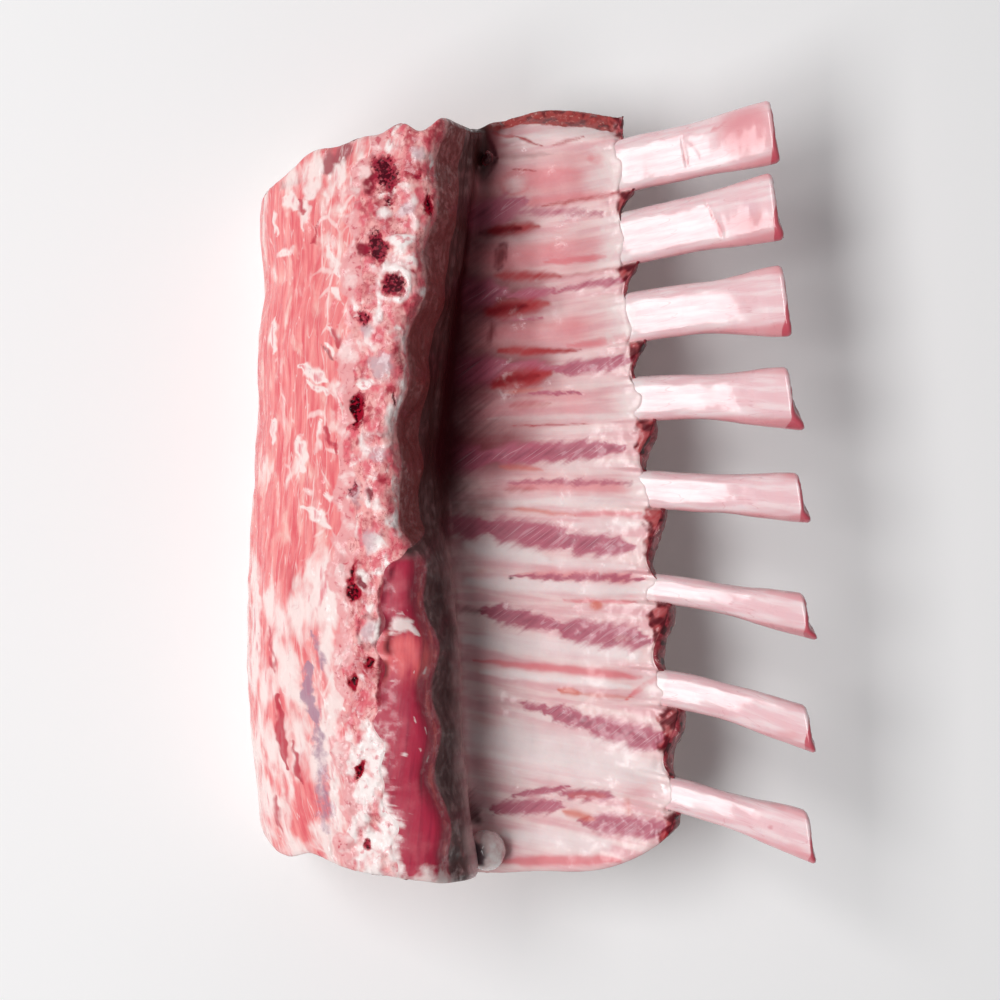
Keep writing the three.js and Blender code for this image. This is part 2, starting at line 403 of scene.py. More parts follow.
    def chest_relief(self, x: np.ndarray, y: np.ndarray) -> np.ndarray:
        """How far the chest side stands above or below its plain curve.

        Args:
            x: places across the rack.
            y: places along it.

        Returns:
            The heights, in millimetres.
        """
        out_of_corner = smoothstep(x, self.chest_low_x - 6, self.chest_low_x + 10)
        ridges = self.rib_ridge * (self.on_rib(x, y) - 1) * out_of_corner
        beside = 1 - smoothstep(np.abs(x - self.bevel_x), self.bevel_half_width - 5, self.bevel_half_width)
        from_end = y - self.shoulder_end(x)
        return ridges - self.bevel_depth * beside * smoothstep(from_end, -self.bevel_length, 0)

    def chine_limit(self, y: np.ndarray) -> np.ndarray:
        """Where the sawn backbone begins on each section's line, coming up from the chest.

        Args:
            y: places along the rack, evenly spaced.

        Returns:
            The place on each section's line, counted in corners.
        """
        turns = np.linspace(9.4, 13.9, 226)
        x, z = np.moveaxis(self.round_line(self.corners(y), np.tile(turns, (len(y), 1))), -1, 0)
        right = (self.ridge_x(y) + self.chine_reach(y))[:, None]
        foot = lerp(self.chest_low_z, self.ridge_z(y), 0.5)[:, None]
        limit = turns[np.argmax((x <= right) & (z >= foot), axis=1)]
        blur = np.hanning(19)
        wave = 0.7 * self.seam_wave * (np.sin(y / 3.1 + 2) + 0.8 * np.sin(y / 1.7))
        return np.convolve(np.pad(limit, 9, mode="edge"), blur / blur.sum(), mode="valid") + wave


class Region(Enum):
    """The stretches of a section's line, in order, that differ in what they are made of."""

    BASE = "base"
    UNDER = "under"
    CUT_EDGE = "cut_edge"
    CHEST = "chest"
    WALL = "wall"
    CHINE = "chine"
    BACK = "back"
    SIDE = "side"


@dataclass
class Skin:
    """The rack's surface as one grid of points: rows from the loin end to the shoulder, columns round it."""

    form: RackForm
    rows: int = 392
    columns: dict[Region, int] = field(
        default_factory=lambda: {
            Region.BASE: 10,
            Region.UNDER: 8,
            Region.CUT_EDGE: 12,
            Region.CHEST: 78,
            Region.WALL: 34,
            Region.CHINE: 64,
            Region.BACK: 62,
            Region.SIDE: 20,
        }
    )

    def __post_init__(self) -> None:
        """Builds the plain grid."""
        first = 0
        self.span: dict[Region, tuple[int, int]] = {}
        for region, count in self.columns.items():
            self.span[region] = (first, first + count)
            first += count
        self.width = first
        self.points = self.plain_points()

    def turns(self, y: np.ndarray) -> np.ndarray:
        """The place of every column on the line of the section at each y, counted in corners.

        Args:
            y: places along the rack.

        Returns:
            The places, in an array of y's length by the columns.
        """
        limit, seam = self.form.chine_limit(y), self.form.seam(y)
        fixed = {
            Region.BASE: (0, 2),
            Region.UNDER: (2, 4),
            Region.CUT_EDGE: (4, 5),
            Region.CHEST: (5, 9),
            Region.WALL: (9, limit),
            Region.CHINE: (limit, seam),
            Region.BACK: (seam, 16),
            Region.SIDE: (16, 19),
        }
        parts = []
        for region, (start, end) in fixed.items():
            share = np.arange(self.columns[region]) / self.columns[region]
            start, end = (np.broadcast_to(v, y.shape)[:, None] for v in (start, end))
            parts.append(lerp(start, end, share))
        return np.concatenate(parts, 1)

    def plain_points(self) -> np.ndarray:
        """Points of the grid with the ribs' ridges, between the two slanting end cuts.

        Returns:
            An array of rows by columns by 3.
        """
        form = self.form
        low, high = form.loin_y - 12, form.shoulder_y + 14
        y = np.arange(low, high, form.table_pitch)
        turns = self.turns(y)
        section = form.round_line(form.corners(y), turns)
        onset = smoothstep(turns, 4.4, 5.1) * (1 - smoothstep(turns, 10, 11))
        x = section[..., 0]
        section[..., 1] += onset * form.chest_relief(x, y[:, None])
        section[..., 1] = np.maximum(section[..., 1], 0)
        share = np.linspace(0, 1, self.rows)[:, None]
        column = np.arange(self.width)[None, :]
        place = lerp(form.loin_y, form.shoulder_y, share) + 0.0 * column
        for _ in range(5):
            step = np.clip((place - low) / form.table_pitch, 0, len(y) - 1.001)
            row = step.astype(int)
            part = (step - row)[..., None]
            at = lerp(section[row, column], section[row + 1, column], part)
            place = lerp(form.loin_end(at[..., 0]), form.shoulder_end(at[..., 0]), share)
        return np.stack([at[..., 0], place, at[..., 1]], -1)

    def normals(self) -> np.ndarray:
        """The outward direction at every point of the grid.

        Returns:
            Unit vectors, rows by columns by 3.
        """
        along = np.gradient(self.points, axis=0)
        around = np.roll(self.points, -1, 1) - np.roll(self.points, 1, 1)
        normal = np.cross(along, around)
        return normal / np.maximum(np.linalg.norm(normal, axis=-1, keepdims=True), 1e-9)


# ---- Painted masks ----


class Mask(Enum):
    """What is painted on the flesh: each is a vertex attribute that a finish reads."""

    MUSCLE = "muscle"  # lean that shows through the chest lining
    CRIMSON = "crimson"  # bloody red
    ORANGE = "orange"
    ROSY = "rosy"
    MILK = "milk"  # thick white lining, or fascia; where the lining runs onto the bones, and in two spots, painted highlights too
    MAROON = "maroon"
    RAW = "raw"  # grainy freshly cut lean
    # bruises; on the loin knob, painted shade on its side towards the backbone
    BRUISE = "bruise"
    WASH = "wash"  # dark red deep in the hollow: partly blood under the lining, partly painted shade
    # fat; near the bones, on the dark muscle and along the backbone's ridge, painted glints too
    FAT = "fat"
    MARROW = "marrow"
    # blood and clots; on the wall beside the dark muscle, painted shade
    BLOOD = "blood"
    CARTILAGE = "cartilage"
    STRIP = "strip"  # the dark muscle beside the backbone
    BARK = "bark"  # brown connective tissue on the backbone's side; on the wall below it and low in the hollow, also painted shade
    BONE = "bone"
    LOBED = "lobed"  # bundles of lean with white seams round them
    JOIN = "join"  # where backbone and lean meet
    SALMON = "salmon"  # bright lean in the dark muscle, and a painted highlight along its rim


@dataclass(frozen=True)
class Stroke:
    """A soft-edged tapering band of one mask, from start to end as seen from above."""

    mask: Mask
    start: tuple[float, float]
    end: tuple[float, float]
    half_start: float
    half_end: float
    strength: float = 1.0

    def value(self, x: np.ndarray, y: np.ndarray) -> np.ndarray:
        """How strong the band is at each place.

        Args:
            x: places across the rack.
            y: places along it.

        Returns:
            The strengths.
        """
        run = np.subtract(self.end, self.start)
        share = ((x - self.start[0]) * run[0] + (y - self.start[1]) * run[1]) / (run @ run)
        share = np.clip(share, 0, 1)
        away = np.hypot(x - self.start[0] - share * run[0], y - self.start[1] - share * run[1])
        half = lerp(self.half_start, self.half_end, share)
        half *= lerp(0.45, 1.0, smoothstep(np.minimum(share, 1 - share), 0, 0.22))
        return self.strength * np.exp(-np.log(2) * (away / half) ** 2)


@dataclass(frozen=True)
class Spot:
    """A soft-edged ellipse of one mask, or its outline, as seen from above."""

    mask: Mask
    middle: tuple[float, float]
    half_x: float
    half_y: float
    strength: float = 1.0
    turn: float = 0.0  # degrees, anticlockwise
    ring: bool = False

    def value(self, x: np.ndarray, y: np.ndarray) -> np.ndarray:
        """How strong the spot is at each place.

        Args:
            x: places across the rack.
            y: places along it.

        Returns:
            The strengths.
        """
        turn = math.radians(self.turn)
        dx, dy = x - self.middle[0], y - self.middle[1]
        u = (dx * math.cos(turn) + dy * math.sin(turn)) / self.half_x
        v = (dy * math.cos(turn) - dx * math.sin(turn)) / self.half_y
        away = np.hypot(u, v)
        if self.ring:
            return self.strength * hump(away, 1, 0.3)
        return self.strength * np.exp(-np.log(2) * away**2.8)


def strokes(mask: Mask, *rows: tuple[float, ...]) -> tuple[Stroke, ...]:
    """Strokes of a mask, from rows of the start, the end, both half widths and any strength but 1."""
    return tuple(Stroke(mask, row[:2], row[2:4], *row[4:]) for row in rows)


def spots(mask: Mask, *rows: tuple[float, ...], ring: bool = False) -> tuple[Spot, ...]:
    """Spots of a mask, from rows of the middle, both half sizes and, where they matter, strength and turn."""
    return tuple(Spot(mask, row[:2], *row[2:], ring=ring) for row in rows)


class Canvas:
    """Masks painted on a set of points."""

    def __init__(
        self,
        points: np.ndarray,
        noise: Noise,
        wander: float = 0.5,
        around: np.ndarray | float = 0,
        across: np.ndarray | float = 0,
    ) -> None:
        """Takes the points.

        Args:
            points: where the masks are wanted.
            noise: what varies the tints and makes the painted edges wander.
            wander: how far they do, in millimetres.
            around: on the skin, how far round the section from the backbone each point is.
            across: the same, from the middle of the rack's side.
        """
        self.points, self.noise = points, noise
        self.around, self.across = around, across
        self.xyz = np.moveaxis(points, -1, 0)
        shift = np.stack([noise(points + 40 * n, 3.5, 2) for n in (1, 2)], -1)
        self.x, self.y = np.moveaxis(points[..., :2] + wander * shift, -1, 0)
        self.masks: dict[str, np.ndarray] = {}

    def bumps(self, size: Sizes, layers: int = 1, apart: float = 0) -> np.ndarray:
        """The noise at the points, or, where a number sets it apart, another one."""
        return self.noise(self.points + apart, size, layers)

    def add(self, mask: Mask, value: np.ndarray) -> None:
        """Lays more of a mask over what is there; the stronger of the two holds."""
        held = self.masks.get(mask.value, np.zeros(self.x.shape))
        self.masks[mask.value] = np.maximum(held, value)

    def scale(self, mask: Mask, share: np.ndarray) -> None:
        """Weakens a mask to a share of what it was."""
        if mask.value in self.masks:
            self.masks[mask.value] = self.masks[mask.value] * share

    def paint(
        self,
        marks: Iterable[Stroke | Spot],
        where: np.ndarray | float = 1.0,
        shift: Sequence[np.ndarray | float] = (0, 0),
    ) -> None:
        """Paints strokes and spots.

        Args:
            marks: what to paint.
            where: a share by which all of it is held back, point by point.
            shift: how far each point's paint is drawn from, across the rack and along it, in millimetres.
        """
        for mark in marks:
            self.add(mark.mask, mark.value(self.x + shift[0], self.y + shift[1]) * where)

    def get(self, mask: Mask) -> np.ndarray:
        """A mask's values, 0 where nothing was painted."""
        return self.masks.get(mask.value, np.zeros(self.x.shape))


# ---- Meshes ----


class Piece:
    """The points, faces and masks of one visible piece, gathered before its mesh is made."""

    def __init__(self, name: str) -> None:
        """Starts an empty piece.

        Args:
            name: its name in the scene.
        """
        self.name = name
        self.points: list[np.ndarray] = []
        self.masks: list[dict[str, np.ndarray]] = []
        self.faces: list[np.ndarray] = []
        self.materials: list[np.ndarray] = []
        self.creased: list[np.ndarray] = []
        self.count = 0

    def add_points(self, points: np.ndarray, masks: dict[str, np.ndarray]) -> np.ndarray:
        """Adds points.

        Args:
            points: an array of points, its last axis being the coordinates.
            masks: their painted masks and grain.

        Returns:
            The points' numbers, in the shape of the array.
        """
        shape = points.shape[:-1]
        count = int(np.prod(shape))
        self.points.append(points.reshape(-1, 3))
        self.masks.append({k: v.reshape(count, *v.shape[len(shape):]) for k, v in masks.items()})
        numbers = np.arange(self.count, self.count + count).reshape(shape)
        self.count += count
        return numbers

    def add_faces(self, faces: np.ndarray, material: int | np.ndarray = 0) -> None:
        """Adds faces of three or four corners, with the number of the finish of each or of all."""
        self.faces.append(faces)
        self.materials.append(np.broadcast_to(np.asarray(material, int), (len(faces),)))

    def add_grid(self, numbers: np.ndarray, closed: bool, material: int | np.ndarray = 0) -> None:
        """Joins a grid of points by faces.

        Args:
            numbers: the points' numbers, rows by columns.
            closed: whether the last column joins the first.
            material: the finish's number, or one for each column.
        """
        across = np.roll(numbers, -1, 1) if closed else numbers[:, 1:]
        own = numbers if closed else numbers[:, :-1]
        faces = np.stack([own[:-1], own[1:], across[1:], across[:-1]], -1)
        columns = np.broadcast_to(np.asarray(material, int), (faces.shape[1],))
        self.add_faces(faces.reshape(-1, 4), np.tile(columns, len(faces)))

    def crease(self, numbers: np.ndarray) -> None:
        """Makes the edges between these points crisp, where two different surfaces meet."""
        self.creased.append(numbers.ravel())

    def mesh(
        self, finishes: list[bpy.types.Material], slot: str, replaced: tuple[str, ...] = ()
    ) -> bpy.types.Object:
        """Makes the mesh and hands it to the frame.

        Args:
            finishes: the piece's materials, in the order of their numbers.
            slot: the name of a slot for the piece; not used.
            replaced: the solids that it stands for, if any.

        Returns:
            The object.
        """
        places = (np.concatenate(self.points) + FRAME_SHIFT) * MM
        mesh = bpy.data.meshes.new(self.name)
        mesh.vertices.add(len(places))
        mesh.vertices.foreach_set("co", places.astype(np.float32).ravel())
        sizes = np.concatenate([np.full(len(f), f.shape[1]) for f in self.faces])
        corners = np.concatenate([f.ravel() for f in self.faces])
        mesh.loops.add(len(corners))
        mesh.loops.foreach_set("vertex_index", corners.astype(np.int32))
        mesh.polygons.add(len(sizes))
        mesh.polygons.foreach_set("loop_start", (np.cumsum(sizes) - sizes).astype(np.int32))
        mesh.polygons.foreach_set("material_index", np.concatenate(self.materials).astype(np.int32))
        for key in sorted({k for masks in self.masks for k in masks}):
            vector = any(m[key].ndim == 2 for m in self.masks if key in m)
            blanks = [np.zeros((len(points), 3) if vector else len(points)) for points in self.points]
            values = np.concatenate([masks.get(key, blank) for masks, blank in zip(self.masks, blanks)])
            attribute = mesh.attributes.new(key, "FLOAT_VECTOR" if vector else "FLOAT", "POINT")
            attribute.data.foreach_set("vector" if vector else "value", values.astype(np.float32).ravel())
        for finish in finishes:
            mesh.materials.append(finish)
        mesh.update(calc_edges=True)
        mesh.validate()
        mesh.shade_smooth()
        if self.creased:
            ends = np.empty(2 * len(mesh.edges), np.int32)
            mesh.edges.foreach_get("vertices", ends)
            is_creased = np.isin(ends, np.concatenate(self.creased)).reshape(-1, 2).all(1)
            mesh.attributes.new("sharp_edge", "BOOLEAN", "EDGE").data.foreach_set("value", is_creased)
        piece = bpy.data.objects.new(self.name, mesh)
        bpy.context.scene.collection.objects.link(piece)
        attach(piece, BODY)
        if replaced:
            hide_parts(*replaced)
        LOG.info("%s: %d points, %d faces", self.name, len(places), len(sizes))
        return piece


# ---- Finishes ----


def linear(colour: str) -> tuple[float, float, float, float]:
    """An sRGB hex colour, such as "#c06070", as the linear colour that Blender's shaders take.

    Args:
        colour: the hex colour.

    Returns:
        Red, green, blue and an alpha of 1.
    """
    parts = [int(colour[i : i + 2], 16) / 255 for i in (1, 3, 5)]
    return (*(p / 12.92 if p <= 0.04045 else ((p + 0.055) / 1.055) ** 2.4 for p in parts), 1.0)


def add_node(
    tree: bpy.types.NodeTree, kind: str, inputs: dict[str | int, object] | None = None, **settings: object
) -> bpy.types.Node:
    """Adds a node.

    Args:
        tree: the material's nodes.
        kind: the node's type, without its "ShaderNode".
        inputs: for each input's name or number, a constant value or the output that it is linked to.
        settings: the node's own properties.

    Returns:
        The node.
    """
    node = tree.nodes.new("ShaderNode" + kind)
    for name, value in settings.items():
        setattr(node, name, value)
    for name, value in (inputs or {}).items():
        if isinstance(value, bpy.types.NodeSocket):
            tree.links.new(value, node.inputs[name])
        else:
            node.inputs[name].default_value = value
    return node


class Source(Enum):
    """What a pattern is laid out along."""

    PLACE = "place"  # the same in every direction
    GRAIN = "grain"  # along the fibres, as painted on the piece
    RUN = "run"  # along the rib, as painted on the piece


class Kind(Enum):
    """What a pattern looks like."""

    CLOUDS = "clouds"  # soft patches
    VEINS = "veins"  # thin lines that branch
    LOBES = "lobes"  # cells with a seam round each


@dataclass(frozen=True)
class Pattern:
    """A natural variation of the flesh, by its real size."""

    size: float  # millimetres from one spot to the next
    along: float = 1.0  # how many times as far along the fibres
    source: Source = Source.PLACE
    detail: float = 3.0
    kind: Kind = Kind.CLOUDS
    warp: float = 0.0  # how far it is bent out of its run, as a share of its size
    line: float = 0.07  # how wide its lines are, as a share of its size

    def build(self, tree: bpy.types.NodeTree) -> bpy.types.NodeSocket:
        """Adds the pattern's nodes.

        Args:
            tree: the material's nodes.

        Returns:
            The output that carries it, from 0 to 1.
        """
        if self.source is Source.PLACE:
            place = add_node(tree, "TexCoord").outputs["Object"]
            step = self.size * MM
        else:
            place = add_node(tree, "Attribute", attribute_name=self.source.value).outputs["Vector"]
            step = self.size
        scale = (1 / step, 1 / (step * self.along), 1 / step)
        scaled = add_node(tree, "Mapping", {"Vector": place, "Scale": scale}).outputs["Vector"]
        if self.warp:
            drift = add_node(tree, "TexNoise", {"Vector": scaled, "Scale": 0.5, "Detail": 2.0})
            moved = {0: drift.outputs["Color"], 1: (2 * self.warp,) * 3, 2: scaled}
            scaled = add_node(tree, "VectorMath", moved, operation="MULTIPLY_ADD").outputs[0]
        if self.kind is Kind.LOBES:
            cells = add_node(tree, "TexVoronoi", {"Vector": scaled, "Scale": 1.0}, feature="DISTANCE_TO_EDGE")
            away = cells.outputs["Distance"]
        else:
            noise = add_node(tree, "TexNoise", {"Vector": scaled, "Scale": 1.0, "Detail": self.detail})
            if self.kind is Kind.CLOUDS:
                return noise.outputs["Fac"]
            centred = {0: noise.outputs["Fac"], 1: 0.5}
            centred = add_node(tree, "Math", centred, operation="SUBTRACT").outputs[0]
            away = add_node(tree, "Math", {0: centred}, operation="ABSOLUTE").outputs[0]
        drawn = {"Value": away, "From Max": self.line, "To Min": 1.0, "To Max": 0.0}
        return add_node(tree, "MapRange", drawn, interpolation_type="SMOOTHSTEP").outputs["Result"]


@dataclass(frozen=True)
class Layer:
    """A tint laid over a finish where a mask was painted, or wherever a pattern is strong."""

    mask: Mask | None
    tint: str
    pattern: str  # which of the finish's patterns breaks up its edge
    ragged: float = 0.5  # how far it does
    start: float = 0.35  # the mask's value where the tint begins to show
    full: float = 0.65
    cover: float = 1.0  # how much of what is below it hides


@dataclass(frozen=True)
class Finish:
    """A finish of wet flesh or bone: a tint that varies by a pattern, layers over it, relief and gloss."""

    name: str
    tints: tuple[str, str]
    tint_pattern: str
    patterns: dict[str, Pattern]
    layers: tuple[Layer, ...]
    relief: tuple[tuple[str, float], ...]  # patterns that raise the surface, and by how many millimetres
    roughness: tuple[float, float]  # where its clouds are weak, and where they are strong
    tint_range: tuple[float, float] = (0.35, 0.65)
    coat: float = 0.6
    coat_roughness: float = 0.12
    scatter: float = 0.15  # how much of the light goes in below the surface
    scatter_reach: float = 0.8  # millimetres
    ior: float = 1.4
    sheen: float = 0.5  # the level of the gloss below the coat
    dull: tuple[Mask, ...] = ()  # where it is porous or clotted and has no gloss
    wet_pattern: str = ""  # where this is weak there is no coat

    def material(self) -> bpy.types.Material:
        """Makes the material.

        Returns:
            The material, ready to be worn.
        """
        made = bpy.data.materials.new(self.name)
        made.use_nodes = True
        tree = made.node_tree
        tree.nodes.clear()
        value = {name: pattern.build(tree) for name, pattern in self.patterns.items()}
        low, high = self.tint_range
        spread = {"Value": value[self.tint_pattern], "From Min": low, "From Max": high}
        share = add_node(tree, "MapRange", spread, interpolation_type="SMOOTHSTEP").outputs["Result"]
        first, second = (linear(tint) for tint in self.tints)
        colour = add_node(tree, "Mix", {0: share, 6: first, 7: second}, data_type="RGBA").outputs[2]
        for layer in self.layers:
            painted = 0.5
            if layer.mask:
                painted = add_node(tree, "Attribute", attribute_name=layer.mask.value).outputs["Fac"]
            centred = {0: value[layer.pattern], 1: layer.ragged, 2: -layer.ragged / 2}
            shift = add_node(tree, "Math", centred, operation="MULTIPLY_ADD").outputs[0]
            edge = add_node(tree, "Math", {0: painted, 1: shift}, operation="ADD").outputs[0]
            shown = {"Value": edge, "From Min": layer.start, "From Max": layer.full, "To Max": layer.cover}
            share = add_node(tree, "MapRange", shown, interpolation_type="SMOOTHSTEP").outputs["Result"]
            over = {0: share, 6: colour, 7: linear(layer.tint)}
            colour = add_node(tree, "Mix", over, data_type="RGBA").outputs[2]
        gloss = {"Value": value["clouds"], "From Min": 0.3, "From Max": 0.7}
        gloss.update({"To Min": self.roughness[0], "To Max": self.roughness[1]})
        rough = add_node(tree, "MapRange", gloss).outputs["Result"]
        coat, sheen = self.gloss(tree, value)
        normal = None
        for name, height in self.relief:
            raised = {"Height": value[name], "Distance": height * MM, "Strength": 1.0}
            if normal is not None:
                raised["Normal"] = normal
            normal = add_node(tree, "Bump", raised).outputs["Normal"]
        flesh = {
            "Base Color": colour,
            "Roughness": rough,
            "IOR": self.ior,
            "Normal": normal,
            "Subsurface Weight": self.scatter,
            "Subsurface Radius": (1.0, 0.45, 0.35),
            "Subsurface Scale": self.scatter_reach * MM,
            "Specular IOR Level": sheen,
            "Coat Weight": coat,
            "Coat Roughness": self.coat_roughness,
        }
        shader = add_node(tree, "BsdfPrincipled", flesh)
        shader.inputs["Specular IOR Level"].default_value = self.sheen
        add_node(tree, "OutputMaterial", {"Surface": shader.outputs["BSDF"]})
        return made

    def gloss(
        self, tree: bpy.types.NodeTree, value: dict[str, bpy.types.NodeSocket]
    ) -> tuple[object, object]:
        """Works out the coat and the gloss below it.

        Args:
            tree: the material's nodes.
            value: the patterns' outputs.

        Returns:
            The coat's weight and the gloss level, each a number or the output that carries it.
        """
        coat, sheen = self.coat, self.sheen
        for mask in self.dull:
            painted = add_node(tree, "Attribute", attribute_name=mask.value).outputs["Fac"]
            fading = {"Value": painted, "From Min": 0.25, "From Max": 0.7, "To Min": 1.0, "To Max": 0.08}
            kept = add_node(tree, "MapRange", fading).outputs["Result"]
            coat = add_node(tree, "Math", {0: kept, 1: coat}, operation="MULTIPLY").outputs[0]
            sheen = add_node(tree, "Math", {0: kept, 1: sheen}, operation="MULTIPLY").outputs[0]
        if self.wet_pattern:
            wet = {"Value": value[self.wet_pattern], "From Min": 0.45, "From Max": 0.6}
            share = add_node(tree, "MapRange", wet).outputs["Result"]
            coat = add_node(tree, "Math", {0: share, 1: coat}, operation="MULTIPLY").outputs[0]
        return coat, sheen


# Pleura, the wet skin that lines the chest: thin and clear over lean, milky where it is thick. It gives a
# pale pink under a tight gloss, with the purple of the muscle between the ribs coming through.
# Some of its dark layers are painted shade in the hollow and on the wall, and some white ones painted glints.
CHEST_LINING = Finish(
    name="pleura_over_ribs",
    tints=("#e6b0b4", "#f2d2d0"),
    tint_pattern="streaks",
    patterns={
        "streaks": Pattern(2.6, 9, Source.RUN, 3),
        "fibres": Pattern(1.2, 14, Source.GRAIN, 2.5),
        "threads": Pattern(2.4, 14, Source.GRAIN, 1, Kind.VEINS, 0.1, 0.04),
        "clouds": Pattern(7.0, detail=3),
        "mottles": Pattern(2.6, detail=3, warp=0.5),
        "grains": Pattern(0.9, detail=3),
    },
    layers=(
        Layer(Mask.ROSY, "#e27c83", "streaks", 0.5, 0.0, 1.2, 0.9),
        Layer(Mask.MILK, "#f2e1e0", "streaks", 0.5, 0.1, 1.3, 0.9),
        # Dark red deep in the hollow: partly blood under the lining, partly painted shade.
        Layer(Mask.WASH, "#852733", "clouds", 0.3, 0.0, 1.0, 0.92),
        Layer(Mask.MUSCLE, "#b85a70", "fibres", 0.6, 0.14, 0.8, 0.92),
        Layer(Mask.MUSCLE, "#7f3146", "fibres", 1.8, 0.75, 1.8, 0.7),
        Layer(Mask.MUSCLE, "#e2b2bb", "threads", 1.0, 0.9, 1.6, 0.4),
        Layer(Mask.CRIMSON, "#aa1a22", "fibres", 0.6, 0.15, 1.2, 0.94),
        Layer(Mask.ORANGE, "#d4604b", "streaks", 0.5, 0.05, 1.2, 0.8),
        Layer(Mask.RAW, "#b14a48", "grains", 0.6, 0.3, 0.8),
        Layer(Mask.RAW, "#6a2026", "mottles", 2.6, 1.0, 1.5, 0.85),
        Layer(Mask.RAW, "#dd9a90", "grains", 2.6, 1.3, 1.7, 0.7),
        # Dark brown: tissue on the backbone's side, and painted shade on the wall and low in the hollow.
        Layer(Mask.BARK, "#431a17", "clouds", 0.4, 0.0, 0.8, 0.97),
        Layer(Mask.BARK, "#6a342d", "mottles", 1.8, 1.0, 1.6, 0.45),
        Layer(Mask.STRIP, "#b52f49", "mottles", 0.3, 0.2, 0.8),
        Layer(Mask.STRIP, "#86203a", "fibres", 2.0, 0.9, 1.8, 0.65),
        Layer(Mask.STRIP, "#d9717c", "clouds", 2.6, 1.0, 1.9, 0.55),
        # Bright lean, and a painted highlight along the dark muscle's rim.
        Layer(Mask.SALMON, "#ea6a6c", "fibres", 0.8, 0.2, 1.1, 0.92),
        Layer(Mask.MAROON, "#4a1520", "fibres", 0.6, 0.15, 1.2, 0.9),
        # White fat, and painted glints where the lining runs onto the bones and on the dark muscle.
        Layer(Mask.FAT, "#f1dcd9", "mottles", 1.2, 0.25, 1.0, 0.92),
        # Near-black painted shade on the wall beside the dark muscle.
        Layer(Mask.BLOOD, "#2f0d14", "clouds", 0.3, 0.1, 1.0, 0.9),
        Layer(Mask.BRUISE, "#74363a", "clouds", 0.2, 0.2, 1.0, 0.85),
    ),
    relief=(("fibres", 0.05), ("grains", 0.04)),
    roughness=(0.32, 0.48),
    coat=0.6,
    sheen=0.35,
    dull=(Mask.MAROON, Mask.BRUISE, Mask.BLOOD),
    wet_pattern="mottles",
)

# The grainy seam of pink, red and white where backbone and lean meet.
GRAINY_JOIN = (
    Layer(Mask.JOIN, "#eaa2a3", "mottles", 0.9, 0.2, 0.8, 0.92),
    Layer(Mask.JOIN, "#c94557", "mottles", 3.2, 1.1, 1.6, 0.8),
    Layer(Mask.JOIN, "#f9dfdc", "clouds", 3.4, 0.9, 1.5, 0.7),
)

# Lean laid bare by the knife, with its sinew: salmon pink with fine fibres, white veils of fascia over it
# and thin white seams round the bundles.
LEAN_AND_FAT = Finish(
    name="cut_lean_with_fat_seams",
    tints=("#e15d67", "#f69b98"),
    tint_pattern="fibres",
    patterns={
        "fibres": Pattern(1.2, 8, Source.GRAIN, 4, warp=0.3),
        "veils": Pattern(4.5, 2.4, Source.GRAIN, 5, warp=0.9),
        "wisps": Pattern(2.2, 4, Source.GRAIN, 4, warp=0.7),
        "threads": Pattern(3.4, 8, Source.GRAIN, 2, Kind.VEINS, 0.2, 0.03),
        "lobes": Pattern(5.2, 2.2, Source.GRAIN, 0, Kind.LOBES, 0.45, 0.12),
        "mottles": Pattern(1.7, detail=4, warp=0.8),
        "clouds": Pattern(5.5, detail=4, warp=0.8),
        "grains": Pattern(0.8, detail=3),
    },
    layers=(
        Layer(None, "#f6bdb4", "veils", 2.0, 0.5, 0.9, 0.75),
        Layer(None, "#cb4150", "wisps", 2.0, 0.75, 1.25, 0.6),
        Layer(Mask.MUSCLE, "#9c5058", "fibres", 0.8, 0.2, 1.0, 0.85),
        Layer(Mask.LOBED, "#fbe0dc", "lobes", 1.0, 0.75, 1.5, 0.65),
        Layer(None, "#fbe9e4", "threads", 1.0, 0.75, 1.05, 0.45),
        Layer(Mask.FAT, "#f8e4e0", "veils", 2.0, 0.25, 0.95, 0.92),
        Layer(Mask.FAT, "#e37f88", "wisps", 2.6, 1.0, 1.5, 0.85),
        Layer(Mask.FAT, "#c9a3ae", "mottles", 3.0, 1.45, 1.9, 0.6),
        Layer(Mask.CRIMSON, "#bd3043", "wisps", 0.9, 0.3, 1.1, 0.9),
        Layer(None, "#d4505e", "mottles", 2.4, 0.85, 1.4, 0.45),
        Layer(Mask.BRUISE, "#a98297", "mottles", 1.2, 0.25, 1.0, 0.85),
        *GRAINY_JOIN,
    ),
    relief=(("fibres", 0.06), ("lobes", 0.06), ("veils", 0.3), ("grains", 0.06)),
    roughness=(0.3, 0.5),
    tint_range=(0.2, 0.8),
    scatter=0.0,
    sheen=0.35,
    wet_pattern="mottles",
)

